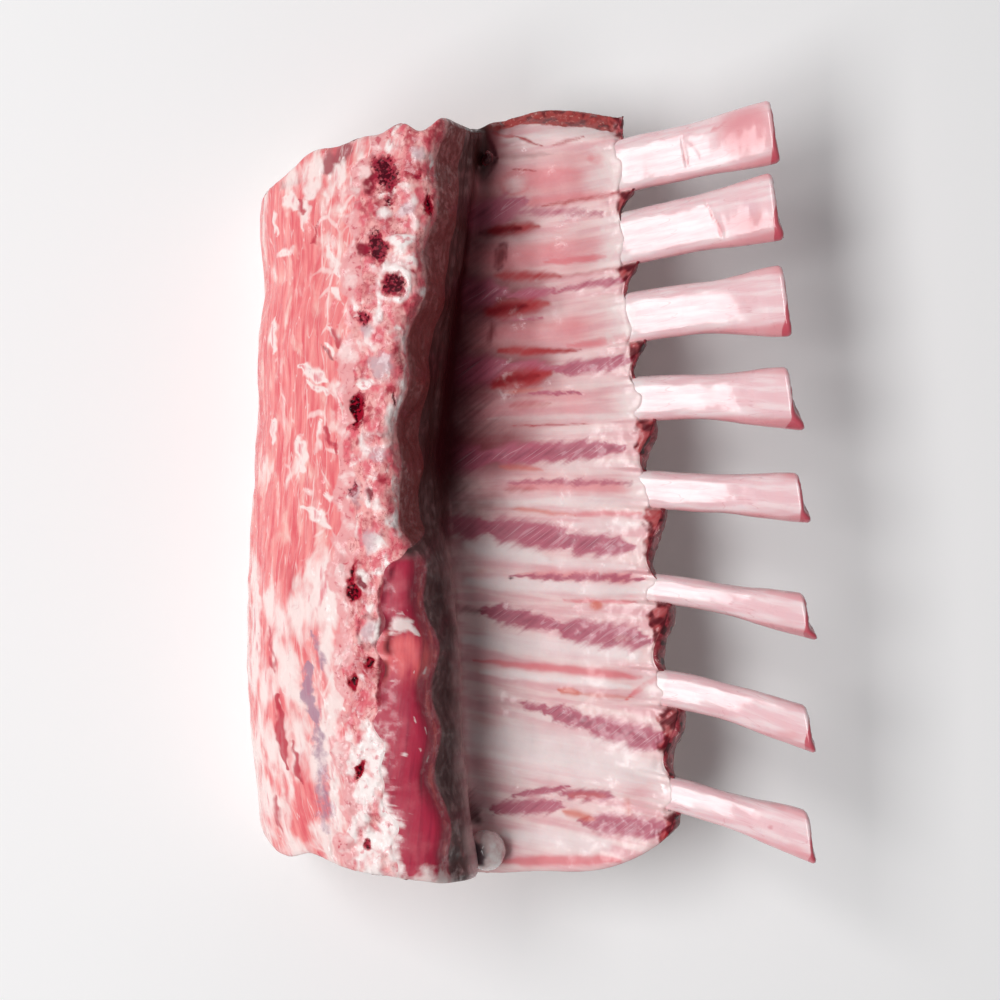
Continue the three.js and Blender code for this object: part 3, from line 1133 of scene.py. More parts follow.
# Backbone split by the saw: spongy bone, pale pink and granular, with dark marrow in its pores, grey
# cartilage between the vertebrae and smears of fat and blood.
SAWN_BACKBONE = Finish(
    name="sawn_spongy_bone",
    tints=("#df6672", "#f3b1ad"),
    tint_pattern="streaks",
    patterns={
        "grains": Pattern(0.9, detail=3),
        "pores": Pattern(0.9, detail=2, warp=0.3),
        "streaks": Pattern(2.6, 1.6, Source.GRAIN, 5, warp=0.9),
        "smears": Pattern(4.2, 1.4, Source.GRAIN, 6, warp=1.2),
        "threads": Pattern(3.4, 1.6, Source.GRAIN, 3, Kind.VEINS, 1.2, 0.03),
        "mottles": Pattern(1.7, detail=4, warp=0.8),
        "clouds": Pattern(5.5, detail=4, warp=0.8),
    },
    layers=(
        Layer(None, "#fceeea", "smears", 2.6, 0.66, 1.0, 0.88),
        Layer(None, "#b92c42", "streaks", 2.6, 0.82, 1.15, 0.8),
        Layer(None, "#a92639", "threads", 1.0, 0.7, 1.0, 0.6),
        Layer(Mask.ROSY, "#e8797f", "streaks", 0.6, 0.2, 0.9, 0.9),
        Layer(Mask.CRIMSON, "#ad2238", "mottles", 2.0, 0.2, 1.2, 0.88),
        Layer(Mask.FAT, "#fbf0ed", "smears", 1.8, 0.3, 1.0, 0.92),
        Layer(Mask.FAT, "#e58d94", "mottles", 2.6, 1.0, 1.5, 0.8),
        Layer(Mask.CARTILAGE, "#ccabb1", "mottles", 1.0, 0.2, 1.1, 0.9),
        Layer(Mask.MAROON, "#861c30", "mottles", 1.0, 0.2, 1.0, 0.92),
        Layer(Mask.MARROW, "#981f36", "mottles", 1.8, 0.3, 0.95, 0.95),
        Layer(Mask.MARROW, "#3f0a17", "pores", 3.4, 0.75, 1.3, 0.92),
        Layer(Mask.BLOOD, "#9a1128", "mottles", 1.4, 0.3, 0.85),
        Layer(Mask.BLOOD, "#32060e", "pores", 2.4, 0.8, 1.3),
        Layer(Mask.BLOOD, "#fbe9e8", "grains", 3.6, 1.7, 2.1, 0.9),
        Layer(Mask.BARK, "#7c2f2d", "mottles", 0.8, 0.2, 1.0, 0.95),
        *GRAINY_JOIN,
    ),
    relief=(("grains", 0.08), ("mottles", 0.15), ("smears", 0.35)),
    roughness=(0.34, 0.55),
    coat=0.8,
    coat_roughness=0.14,
    scatter=0.0,
    sheen=0.3,
    dull=(Mask.MARROW, Mask.BLOOD, Mask.MAROON),
    wet_pattern="mottles",
)

# Lean and gristle cut across: dark wet red, with pale ends of cartilage and fat.
CUT_MEAT = Finish(
    name="knife_cut_meat",
    tints=("#7b1e2a", "#a83a46"),
    tint_pattern="grains",
    patterns={
        "grains": Pattern(1.2, detail=4),
        "clouds": Pattern(5.0, detail=3),
        "pores": Pattern(0.8, detail=3),
        "threads": Pattern(7.0, 0.6, Source.GRAIN, 3, Kind.VEINS, 0.8, 0.02),
    },
    layers=(
        Layer(Mask.ROSY, "#c8626b", "grains", 0.5, 0.2, 0.9, 0.9),
        Layer(Mask.ROSY, "#dd8d91", "clouds", 2.4, 1.0, 1.7, 0.7),
        Layer(Mask.ROSY, "#f0d2cb", "threads", 1.8, 1.0, 1.5, 0.8),
        Layer(Mask.FAT, "#f2ddd5", "grains", 0.6, 0.3, 0.7, 0.95),
        Layer(Mask.FAT, "#e9b7b0", "clouds", 2.4, 1.2, 1.9, 0.6),
        Layer(Mask.MILK, "#f3e2df", "grains", 0.5, 0.35, 0.6, 0.95),
        Layer(Mask.MAROON, "#4a1119", "clouds", 0.5, 0.35, 0.8),
    ),
    relief=(("grains", 0.2), ("pores", 0.08)),
    roughness=(0.3, 0.52),
    coat=0.3,
)

# Back fat with its skin trimmed off: firm, waxy white with a breath of pink and faint lobes.
FAT_CAP = Finish(
    name="trimmed_back_fat",
    tints=("#f1d9cf", "#f8ebe4"),
    tint_pattern="clouds",
    patterns={
        "wisps": Pattern(3.0, 5, Source.GRAIN, 4),
        "clouds": Pattern(6.0, detail=4),
        "grains": Pattern(1.4),
    },
    layers=(
        Layer(Mask.ROSY, "#e79c9c", "wisps", 0.9, 0.4, 0.9, 0.8),
        Layer(Mask.CRIMSON, "#b84a52", "wisps", 0.7, 0.45, 0.9, 0.8),
    ),
    relief=(("wisps", 0.25), ("grains", 0.12)),
    roughness=(0.32, 0.5),
    coat=0.4,
    coat_roughness=0.2,
)

# Rib bone scraped bare with a knife: wet, hard and smooth, pale pink, with faint scrape marks across it and a
# broad clear gloss.
BARE_BONE = Finish(
    name="scraped_rib_bone",
    tints=("#f0c3c8", "#f6dbdd"),
    tint_pattern="streaks",
    patterns={
        "streaks": Pattern(2.0, 6, Source.RUN, 4),
        "scrapes": Pattern(4.0, 0.12, Source.RUN, 2),
        "clouds": Pattern(4.0, detail=3),
        "pores": Pattern(0.8, detail=4),
        "threads": Pattern(3.0, 9, Source.RUN, 2, Kind.VEINS, 0.6, 0.02),
    },
    layers=(
        Layer(None, "#dc9aa2", "threads", 1.0, 0.75, 1.0, 0.4),
        Layer(Mask.ROSY, "#e48d94", "streaks", 0.4, 0.25, 1.1, 0.85),
        Layer(Mask.BRUISE, "#d3a3b1", "clouds", 0.3, 0.3, 1.2, 0.7),
        Layer(Mask.MILK, "#faf0ee", "clouds", 0.4, 0.3, 1.0, 0.8),
        Layer(Mask.CRIMSON, "#c8485a", "clouds", 0.3, 0.4, 0.9, 0.9),
        Layer(Mask.MARROW, "#d78a8c", "pores", 0.4, 0.3, 0.6),
        Layer(Mask.MARROW, "#93303c", "pores", 1.4, 0.75, 1.05),
        Layer(Mask.BLOOD, "#4a0f1a", "pores", 0.8, 0.4, 0.8),
    ),
    relief=(("streaks", 0.04), ("scrapes", 0.02)),
    roughness=(0.24, 0.38),
    coat=0.9,
    coat_roughness=0.12,
    sheen=0.4,
)

# Joint cartilage: smooth, bluish white and half clear, so it looks grey and deep with a small sharp gloss.
CARTILAGE = Finish(
    name="joint_cartilage",
    tints=("#e3c8c6", "#f7ece9"),
    tint_pattern="clouds",
    patterns={"clouds": Pattern(3.0, detail=3), "wrinkles": Pattern(0.9, detail=2)},
    # The dark layer is painted shade on the loin knob's side towards the backbone.
    layers=(Layer(Mask.BRUISE, "#57404a", "clouds", 0.4, 0.1, 1.0, 0.95),),
    relief=(("wrinkles", 0.06),),
    roughness=(0.15, 0.3),
    coat=1.0,
    coat_roughness=0.06,
)


# ---- A stretch of skin ----


@dataclass
class Surface:
    """One stretch of the rack's skin: how it is painted, what its patterns run along and how it is raised."""

    form: RackForm
    wander: float = 0.5  # how far painted edges wander
    fibre_bend: float = 2.4  # how far the fibres on the outer side bend

    def paint(self, canvas: Canvas) -> None:
        """Paints its masks."""

    def lines(self, canvas: Canvas) -> dict[str, np.ndarray]:
        """What its patterns run along: here the fibres on the outer side, along the rack."""
        across = canvas.across + self.fibre_bend * canvas.bumps(34)
        return {"grain": np.stack([across, canvas.points[..., 1], 0 * canvas.around], -1)}

    def relief(self, canvas: Canvas) -> np.ndarray:
        """How far each point stands out from the plain shape, in millimetres."""
        return np.zeros(canvas.x.shape)


# ---- The chest wall ----


@dataclass(frozen=True)
class FibreRun:
    """The direction in which the muscle between the ribs runs, as seen from above."""

    angle: float  # degrees from +X

    @property
    def direction(self) -> tuple[float, float]:
        """The unit step along the fibres."""
        return math.cos(math.radians(self.angle)), math.sin(math.radians(self.angle))

    def along(self, x: np.ndarray, y: np.ndarray) -> np.ndarray:
        """How far along the fibres a place is."""
        return x * self.direction[0] + y * self.direction[1]

    def across(self, x: np.ndarray, y: np.ndarray) -> np.ndarray:
        """How far across them it is."""
        return y * self.direction[0] - x * self.direction[1]


FIBRES = FibreRun(38)


@dataclass
class ChestWall(Surface):
    """The hollow side: lining over the ribs and the muscle between them, up to the backbone's side."""

    wander: float = 0.35
    rim_fold_reach: float = 9  # how far in from the rim the lining is creased where it leaves a bone
    sinks_from: float = -18  # how far beyond the rim, below zero inside it, the lining sinks to each bone
    bare_from: float = -2.6  # where it ends
    skin_thickness: float = 0.12
    bone_cover: float = 0.45  # how deep in the bone the skin lies from there on
    strip_starts: float = -12  # y from where, towards the loin, dark muscle lies on the backbone's side
    raw_band: float = 5.2  # width of the bare lean at the shoulder cut
    comb_reach: float = 1.5  # how far the ends of the muscle's fibres fray
    comb_width: float = 1.4
    comb_length: float = 14
    # where the dark red wash in the hollow ends across the rack: partly blood, partly painted shade
    wash_until: Through = Through((-102, -20), (-50, -22), (-20, -14), (5, 0), (24, 5), (50, 4), (98, -4))
    # how pink the lining over the ribs is, along the rack
    salmon: Through = Through((-102, 0.1), (-30, 0.2), (10, 0.45), (40, 0.85), (98, 1))
    marks: tuple[Stroke | Spot, ...] = (
        *strokes(Mask.BRUISE, (-10, 93.6, 6, 94.2, 1.6, 0.9, 0.5), (-16, -58.2, -4, -58.4, 1.6, 1, 0.35)),
        *strokes(
            Mask.CRIMSON,
            (-11, 100.6, -4, 99.4, 0.7, 0.6, 0.9), (-4, 99.4, 3.5, 96.2, 0.6, 0.3),
            (5.5, 96.6, 14.5, 98.8, 0.8, 0.4, 0.8), (-5.5, 90.3, 1.2, 89.4, 0.5, 0.3, 0.9),
            (3, 79.8, 24.5, 83, 0.6, 0.9, 0.8), (-12, 73, 2, 74.4, 1.8, 1.4),
            (-10, 60.4, 8, 60.4, 1.8, 1.2, 0.95), (5, 59.6, 26, 62.4, 0.8, 0.9, 0.6),
            (-12, 50.6, 4.5, 52.8, 2.8, 1.8, 1.1), (-9, 39.6, 14, 39.5, 1.5, 0.5, 1.1),
            (-10, 30.4, 5, 33.4, 3.6, 2.2, 1.15), (-6, 24.4, 5, 24.8, 1.8, 1.4, 0.55),
            (-5, 18.9, 17, 19.1, 0.4, 0.3, 0.8), (-8, 1.2, 2, 1.2, 1.4, 0.9, 0.6),
        ),
        *strokes(
            Mask.MAROON,
            (-13, 101, -9.6, 93.4, 0.9, 0.8, 1.3), (-9.6, 93.4, -12.6, 87.6, 0.9, 0.6, 1.2),
            (-14, 72.6, -3, 73.8, 2.2, 1.4, 0.75), (-14, 50.4, -1, 52.2, 2.4, 1.4, 0.7),
            (-12, 30.6, 2, 32.8, 2.2, 1.2, 0.6), (-26, -31, -13, -33, 1.6, 1.4, 0.6),
            # The next stroke is painted shade at the wall's foot near the loin end.
            (-22, -84, -15, -91, 5, 3.2),
        ),
        *strokes(
            Mask.MILK,
            (-9, 98, 21, 100.6, 1.6, 2.6, 0.8), (-8, 91.6, 19, 91.4, 1.6, 1.4, 0.5),
            (-14, 70.4, 8, 71.4, 2, 1.6, 0.6), (8, 71.4, 24, 73.4, 1.6, 2.2, 0.5),
            (-2, 62.4, 22, 64, 0.6, 0.8, 0.45), (-8, 49.2, 29, 51, 1.4, 1.8, 0.5),
            (5, 30, 29, 31, 2, 2.2, 0.5), (-12, 20.8, 30, 21.4, 1.4, 1.6, 0.65),
            (-12, 16.6, 30, 17.4, 1.3, 1.6, 0.55), (3, 7.2, 30, 7.4, 1.6, 2, 0.6),
            (-14, -2.4, 30, -1.8, 1.8, 2.1, 0.85), (11, -9, 29, -8.6, 1.8, 2.4, 0.85),
            (-18, -14.2, 4, -18.4, 3, 2.6, 1.15), (3, -19, 28, -20.4, 1.8, 1.8, 0.85),
            (-18, -24.5, 31, -27, 2.6, 2, 1.1), (-18, -40.6, 29, -44.6, 2.9, 2.9, 1.15),
            (-14, -49.6, 27, -53.2, 1.6, 1.2), (-14, -68.5, 34, -77, 9, 6.5, 1.15),
            (-7, -94.8, 21, -97.2, 3, 3.4, 1.1), (18.6, -14, 20.2, -60, 0.3, 0.3, 0.8),
        ),
        *strokes(
            Mask.MUSCLE,
            (-24, 74.5, -2, 81, 4.2, 2.8, 0.99), (-4, 78.5, 20, 77.5, 2, 1.4, 0.56),
            (-26, 55, -8, 56, 4.6, 3, 0.99), (-6, 54.8, 6, 56.5, 1.4, 1.6, 0.77),
            (6, 56, 26, 59, 1, 1.3, 0.77), (-8, 48.2, 4, 48.6, 0.6, 0.4, 0.63),
            (-28, 33.5, -6, 35, 4.8, 2.8, 1.03), (-6, 35.4, 8, 34.6, 1.9, 1.6, 0.72),
            (7, 34.2, 28, 36.8, 1.9, 1.7, 1.08), (-2, 27.3, 15, 28, 0.5, 0.5, 0.81),
            (-28, 9.6, -12, 9.8, 3.8, 3, 1.08), (-13, 10.4, 25, 12.6, 2.9, 1.9, 1.17),
            (-7, 3.2, 30, 3, 1, 0.8, 0.65), (-29, -8, -12, -9.6, 2.6, 3, 0.99),
            (-13, -9.4, 12, -13, 3.2, 2.9, 1.12), (9, -13.8, 27, -14.8, 2.7, 2.3, 1.17),
            (-5.5, -22.9, 31, -23.4, 0.8, 1.2, 0.77), (-13, -32.6, 8, -36.8, 2.6, 1.8, 1.08),
            (8, -37.4, 32, -40.5, 3.2, 2.8, 1.12), (-3, -58.4, 4, -59.8, 0.9, 1.6, 0.81),
            (4, -60.2, 15, -63, 2, 2.3, 1.08), (14, -63.5, 37, -68.5, 2.6, 3, 1.12),
            (-5, -84.2, 10, -81, 0.9, 0.9, 0.9), (8, -83.4, 22, -83.4, 1.6, 1.8, 0.81),
            (-11, -87.6, 8, -86.6, 1.8, 2.3, 0.99), (14, -90.6, 38, -92.6, 2.6, 2.6, 0.99),
        ),
        *strokes(
            Mask.ORANGE,
            (-7, 27.8, 3, 29.2, 0.8, 0.6, 0.6), (-9, 7.6, 3, 6.6, 1, 0.8, 0.8),
            (-6, -4, 12, -5.9, 0.8, 0.7, 0.8), (7.5, -54.2, 13.5, -55.2, 1, 0.8, 1.2),
            (14, -55.4, 28, -56.2, 0.8, 0.7, 0.7), (10, -83.6, 20, -83.6, 1.2, 1.2, 0.6),
            (9, -88, 17, -90, 1.1, 1.3, 0.95),
        ),
        *strokes(
            Mask.ROSY,
            (-4, 80.6, 24, 83.4, 1.8, 1.6, 0.9), (4, 64, 20, 65.5, 1, 1, 1.3), (10, 40.6, 28, 43.2, 1.2, 1),
            (-6, 2.4, 30, 1.6, 1.8, 1.8, 0.8), (12, -5.8, 30, -5.4, 0.9, 0.7, 0.9),
            (-4, -22.6, 31, -23.4, 1.3, 1.9), (9, -29.6, 29, -29.8, 0.6, 0.6),
            (-16, -46.4, 30, -50.6, 0.8, 1.3, 1.2), (26, -56.6, 37, -48.4, 0.6, 0.6, 1.4),
            (-8, -102.4, 24, -101.2, 1.2, 1.4, 1.3),
        ),
        *spots(Mask.BRUISE, (-8.6, 65.8, 1.4, 3.3, 0.9, -14), (-11.3, 44.6, 1.1, 3.6, 0.9, -8)),
        *spots(Mask.CRIMSON, (25, -40, 3, 1.2, 0.6)),
        *spots(Mask.MAROON, (-5.4, -23.6, 0.7, 0.5, 1.2)),
        # The second and third white spots are painted highlights on the wet lining.
        *spots(
            Mask.MILK,
            (-4.2, 86.4, 3.3, 2.3, 0.6, 20), (18.5, 86.5, 5, 4, 0.8), (1.6, 59, 0.7, 0.6, 1.2),
        ),
        *spots(
            Mask.ORANGE,
            (17.7, -30.9, 1.6, 1.4, 1.3), (-14.5, -21.6, 2, 1, 0.4), (-14, -63, 4, 1.4, 0.35, -20),
            (26.5, -86.2, 1, 3, 0.7, 10),
        ),
        *spots(Mask.ROSY, (17.5, 92.6, 2.6, 1.6, 1.1)),
        *spots(Mask.MAROON, (-8.6, 65.8, 1.6, 3.6, 0.7, -14), (-11.3, 44.6, 1.3, 3.9, 0.55, -8), ring=True),
        *spots(Mask.ROSY, (-4.2, 86.4, 4.4, 3.2, 0.9, 20), ring=True),
    )

    sinew: tuple[Stroke, ...] = strokes(
        Mask.FAT, (-37.4, -35.2, -32, -34, 2.4, 1.5, 1.1), (-33.2, -34.4, -30, -37.4, 1.2, 0.6, 1.1)
    )

    def height(self, canvas: Canvas) -> np.ndarray:
        """How far up the backbone's side each point is, from 0 at its foot to 1 at its ridge."""
        _, y, z = canvas.xyz
        return (z - self.form.chest_low_z) / (self.form.ridge_z(y) - self.form.chest_low_z)

    def paint(self, canvas: Canvas) -> None:
        """Paints the lining, painted shade on the wall and in the hollow, and what the knife laid bare.

        Args:
            canvas: the chest's and the wall's points.
        """
        form, (x, y, _), height = self.form, canvas.xyz, self.height(canvas)
        flat = 1 - smoothstep(height, 0.12, 0.3) * smoothstep(-x, 12, 22)
        across, along = FIBRES.across(x, y) / self.comb_width, FIBRES.along(x, y) / self.comb_length
        comb = self.comb_reach * canvas.noise(np.stack([across, along, 0 * x], -1), 1.0, 2)
        canvas.paint((m for m in self.marks if m.mask is not Mask.MUSCLE), flat)
        shift = (comb * FIBRES.direction[0], comb * FIBRES.direction[1])
        canvas.paint((m for m in self.marks if m.mask is Mask.MUSCLE), flat, shift)
        pink = form.on_rib(x, y) * (1 - 0.8 * smoothstep(x, 10, 24))
        pink = pink * (0.85 + 0.3 * canvas.bumps((16, 4, 4), 2))
        canvas.add(Mask.ROSY, self.salmon(y) * pink * flat)
        # A dark red wash in the hollow's upper half: partly blood under the lining, partly painted shade.
        from_wash = self.wash_until(y) + 4 * canvas.bumps(14, 2) - x
        wash = smoothstep(from_wash, -10, 11)
        upper = smoothstep(y, -30, 15)
        canvas.add(Mask.WASH, wash * upper * (1 - 0.5 * form.on_rib(x, y)))
        # Painted shade deeper in the hollow: maroon in the upper half, brown towards the loin.
        canvas.add(Mask.MAROON, 0.75 * smoothstep(from_wash, 4, 24) * upper * flat)
        canvas.add(Mask.BARK, 0.62 * smoothstep(from_wash, 0, 15) * (1 - upper))
        strip = smoothstep(-x, 14, 24) * smoothstep(self.strip_starts - y, 0, 10)
        wall = smoothstep(-x + 1.5 * canvas.bumps(9, 2), 10, 22) * smoothstep(height, -0.12, 0.12)
        canvas.add(Mask.STRIP, 1.1 * strip * smoothstep(height + 0.04 * canvas.bumps(9, 2), 0.7, 0.88))
        # The wall: brown tissue darkened as painted shade, paler towards its foot in the lower half.
        paler = 0.6 * (1 - smoothstep(height, 0.15, 0.75)) * (1 - upper)
        canvas.add(Mask.BARK, wall * (1 - paler) * (1 - strip * smoothstep(height, 0.74, 0.9)))
        # Painted shade: near-black on the wall beside the dark muscle, at mid height.
        canvas.add(Mask.BLOOD, 0.55 * strip * hump(height, 0.5, 0.4))
        self.paint_strip(canvas, strip)
        from_rim, on_bone = self.from_rim(x, y), self.on_bone(x, y)
        torn = smoothstep(from_rim + 1.6 * canvas.bumps(4, 3), -3.2, -0.9) * (1 - on_bone)
        canvas.add(Mask.CRIMSON, torn)
        canvas.add(Mask.MAROON, torn * smoothstep(canvas.bumps(3, 2, 70), -0.6, 0.2))
        # Painted highlights where the lining runs onto the bones: milky white, then white flecks.
        canvas.add(Mask.MILK, 0.75 * on_bone * smoothstep(from_rim, -14, -5))
        glint_flecks = smoothstep(canvas.bumps(5, 3), -0.4, 0.3)
        canvas.add(Mask.FAT, 0.6 * on_bone * smoothstep(from_rim, -13, -6) * glint_flecks)
        self.paint_shoulder_cut(canvas)

    def paint_strip(self, canvas: Canvas, strip: np.ndarray) -> None:
        """Paints the slit, sinew, fatty rim, painted highlight and glints of the dark muscle beside the
        backbone.

        Args:
            canvas: the chest's and the wall's points.
            strip: 1 where that muscle may lie.
        """
        form, (x, y, _), height = self.form, canvas.xyz, self.height(canvas)
        top = strip * (x < -18)
        from_bone = x - form.ridge_x(y) - form.chine_reach(y) + 0.5 * canvas.bumps(3, 2)
        canvas.add(Mask.MAROON, 1.0 * top * hump(from_bone, 0.8, 1.3) * smoothstep(y, -62, -52))
        torn_fat = hump(from_bone + 2.4 * canvas.bumps(5, 3, 50), 0, 1.6)
        canvas.add(Mask.FAT, 1.1 * top * torn_fat * smoothstep(-y, 58, 66))
        veil = canvas.bumps((3, 9, 3), 3, 90)
        # Painted highlight: a bright rim along the edge of the dark muscle.
        canvas.add(Mask.SALMON, strip * hump(height + 0.03 * veil, 0.88, 0.05) * smoothstep(veil, -0.5, 0.4))
        canvas.add(Mask.SALMON, top * hump(y, -43, 9) * smoothstep(height, 0.8, 0.92) * (0.8 + 0.5 * veil))
        # Painted glints: fine white threads along the top of the dark muscle.
        threads = smoothstep(canvas.bumps((1.1, 5, 1.1), 2, 90), 0.45, 0.8) * smoothstep(height, 0.85, 0.95)
        canvas.add(Mask.FAT, 0.9 * top * threads)
        canvas.add(Mask.FAT, 0.9 * top * smoothstep(-y + 3 * canvas.bumps(5, 2), 97, 103))
        canvas.paint(self.sinew, top)

    def from_rim(self, x: np.ndarray, y: np.ndarray) -> np.ndarray:
        """How far x is beyond the rim, below zero inside it."""
        return x - self.form.edge_x(y) - self.form.scallop * self.form.on_rib(x, y)

    def on_bone(self, x: np.ndarray, y: np.ndarray) -> np.ndarray:
        """1 over the width of a bone and 0 beside it."""
        half_widths = np.array([rib.width / 2 for rib in RIBS]).reshape(-1, *[1] * np.ndim(x))
        return 1 - smoothstep((np.abs(self.form.rib_offsets(x, y)) - half_widths).min(0), -1.6, 0.6)

    def bare(self, points: np.ndarray, bones: list["RibBone"], noise: Noise) -> np.ndarray:
        """Lays the skin close over each bone towards the rim, and into it where the bone is bare.

        Args:
            points: the skin's points along the rim.
            bones: the ribs.
            noise: what makes the lining's torn edge ragged.

        Returns:
            The points' new heights.
        """
        x, y, z = np.moveaxis(points, -1, 0)
        from_rim = self.from_rim(x, y)
        close = smoothstep(from_rim, self.sinks_from, -4)
        ragged = from_rim + 2.0 * noise(points * (1, 1, 0), 6, 2)
        beyond = smoothstep(ragged, self.bare_from, self.bare_from + 1.1)
        for bone in bones:
            share = np.abs(y - bone.line(x)) / (bone.rib.width / 2)
            over = bone.top_z(x, np.minimum(share, 0.7)) + self.skin_thickness
            into = bone.top_z(x, np.minimum(share, 0.9)) - self.bone_cover
            z = lerp(z, np.minimum(z, lerp(over, into, beyond)), close * (1 - smoothstep(share, 0.88, 1.1)))
        return z

    def paint_shoulder_cut(self, canvas: Canvas) -> None:
        """Bares the grainy lean of the slanting cut at the shoulder end, and the flap beside it.

        Args:
            canvas: the chest's and the wall's points.
        """
        x, y, _ = canvas.xyz
        from_end = self.form.shoulder_end(x) - y + 0.7 * canvas.bumps(4, 2)
        beside = smoothstep(x, -16, -8) * (1 - smoothstep(x, 21, 25))
        width = self.raw_band - 2.6 * smoothstep(-x, -6, 8)
        canvas.add(Mask.RAW, 1.1 * beside * (1 - smoothstep(from_end - width, -1.2, 0.6)))
        flap = (1 - smoothstep(x, -14, -9)) * smoothstep(y + 0.5 * x, 74, 84)
        canvas.add(Mask.BARK, 0.8 * flap)
        for mask in (Mask.MAROON, Mask.MUSCLE, Mask.CRIMSON):
            canvas.scale(mask, 1 - 0.8 * flap)

    def lines(self, canvas: Canvas) -> dict[str, np.ndarray]:
        """What its patterns run along: the fibres between the ribs, and the ribs.

        Args:
            canvas: the chest's and the wall's points.

        Returns:
            The distances across the fibres and along them, and the same of the ribs.
        """
        form, (x, y, z) = self.form, canvas.xyz
        wall = smoothstep(z - form.chest_low_z, 10.5, 11.5) * smoothstep(-x, 12, 13)
        grain = lerp(FIBRES.across(x, y), z - x, wall), lerp(FIBRES.along(x, y), y, wall), 0 * x
        run = form.fan(x, y), x + form.chest_z(x) - z, 0 * x
        return {"grain": np.stack(grain, -1), "run": np.stack(run, -1)}

    def relief(self, canvas: Canvas) -> np.ndarray:
        """Raises seams, fibres, folds and torn lean.

        Args:
            canvas: the painted points.

        Returns:
            How far each point stands out, in millimetres.
        """
        (x, y, _), bumps, painted = canvas.xyz, canvas.bumps, canvas.get
        height = 0.35 * bumps(15) + 0.1 * bumps(5)
        height += 0.15 * smoothstep(painted(Mask.MILK), 0.2, 1) - 0.2 * painted(Mask.MUSCLE)
        fibres = np.stack([FIBRES.across(x, y), FIBRES.along(x, y) / self.comb_length, 0 * x], -1)
        height += 0.08 * canvas.noise(fibres, 1.8, 2) * smoothstep(painted(Mask.MUSCLE), 0.3, 0.9)
        from_rim, on_bone = self.from_rim(x, y), self.on_bone(x, y)
        height += 0.22 * smoothstep(from_rim, -self.rim_fold_reach, -3) * on_bone * bumps(2.2, 2)
        wall = smoothstep(painted(Mask.BARK) + painted(Mask.STRIP), 0.3, 0.8)
        height += wall * (0.45 * bumps((9, 14, 9), 2) + 0.2 * bumps((2.6, 15, 2.6), 2))
        height -= 0.7 * smoothstep(painted(Mask.MAROON), 0.6, 1.2) * smoothstep(-x, 22, 26)
        height += 0.5 * smoothstep(from_rim, -7, -2) * (1 - on_bone) * bumps(4, 2)
        return height + smoothstep(painted(Mask.RAW), 0.3, 0.8) * (0.4 * bumps(1.6, 2) + 0.4 * bumps(5))


# ---- The backbone ----


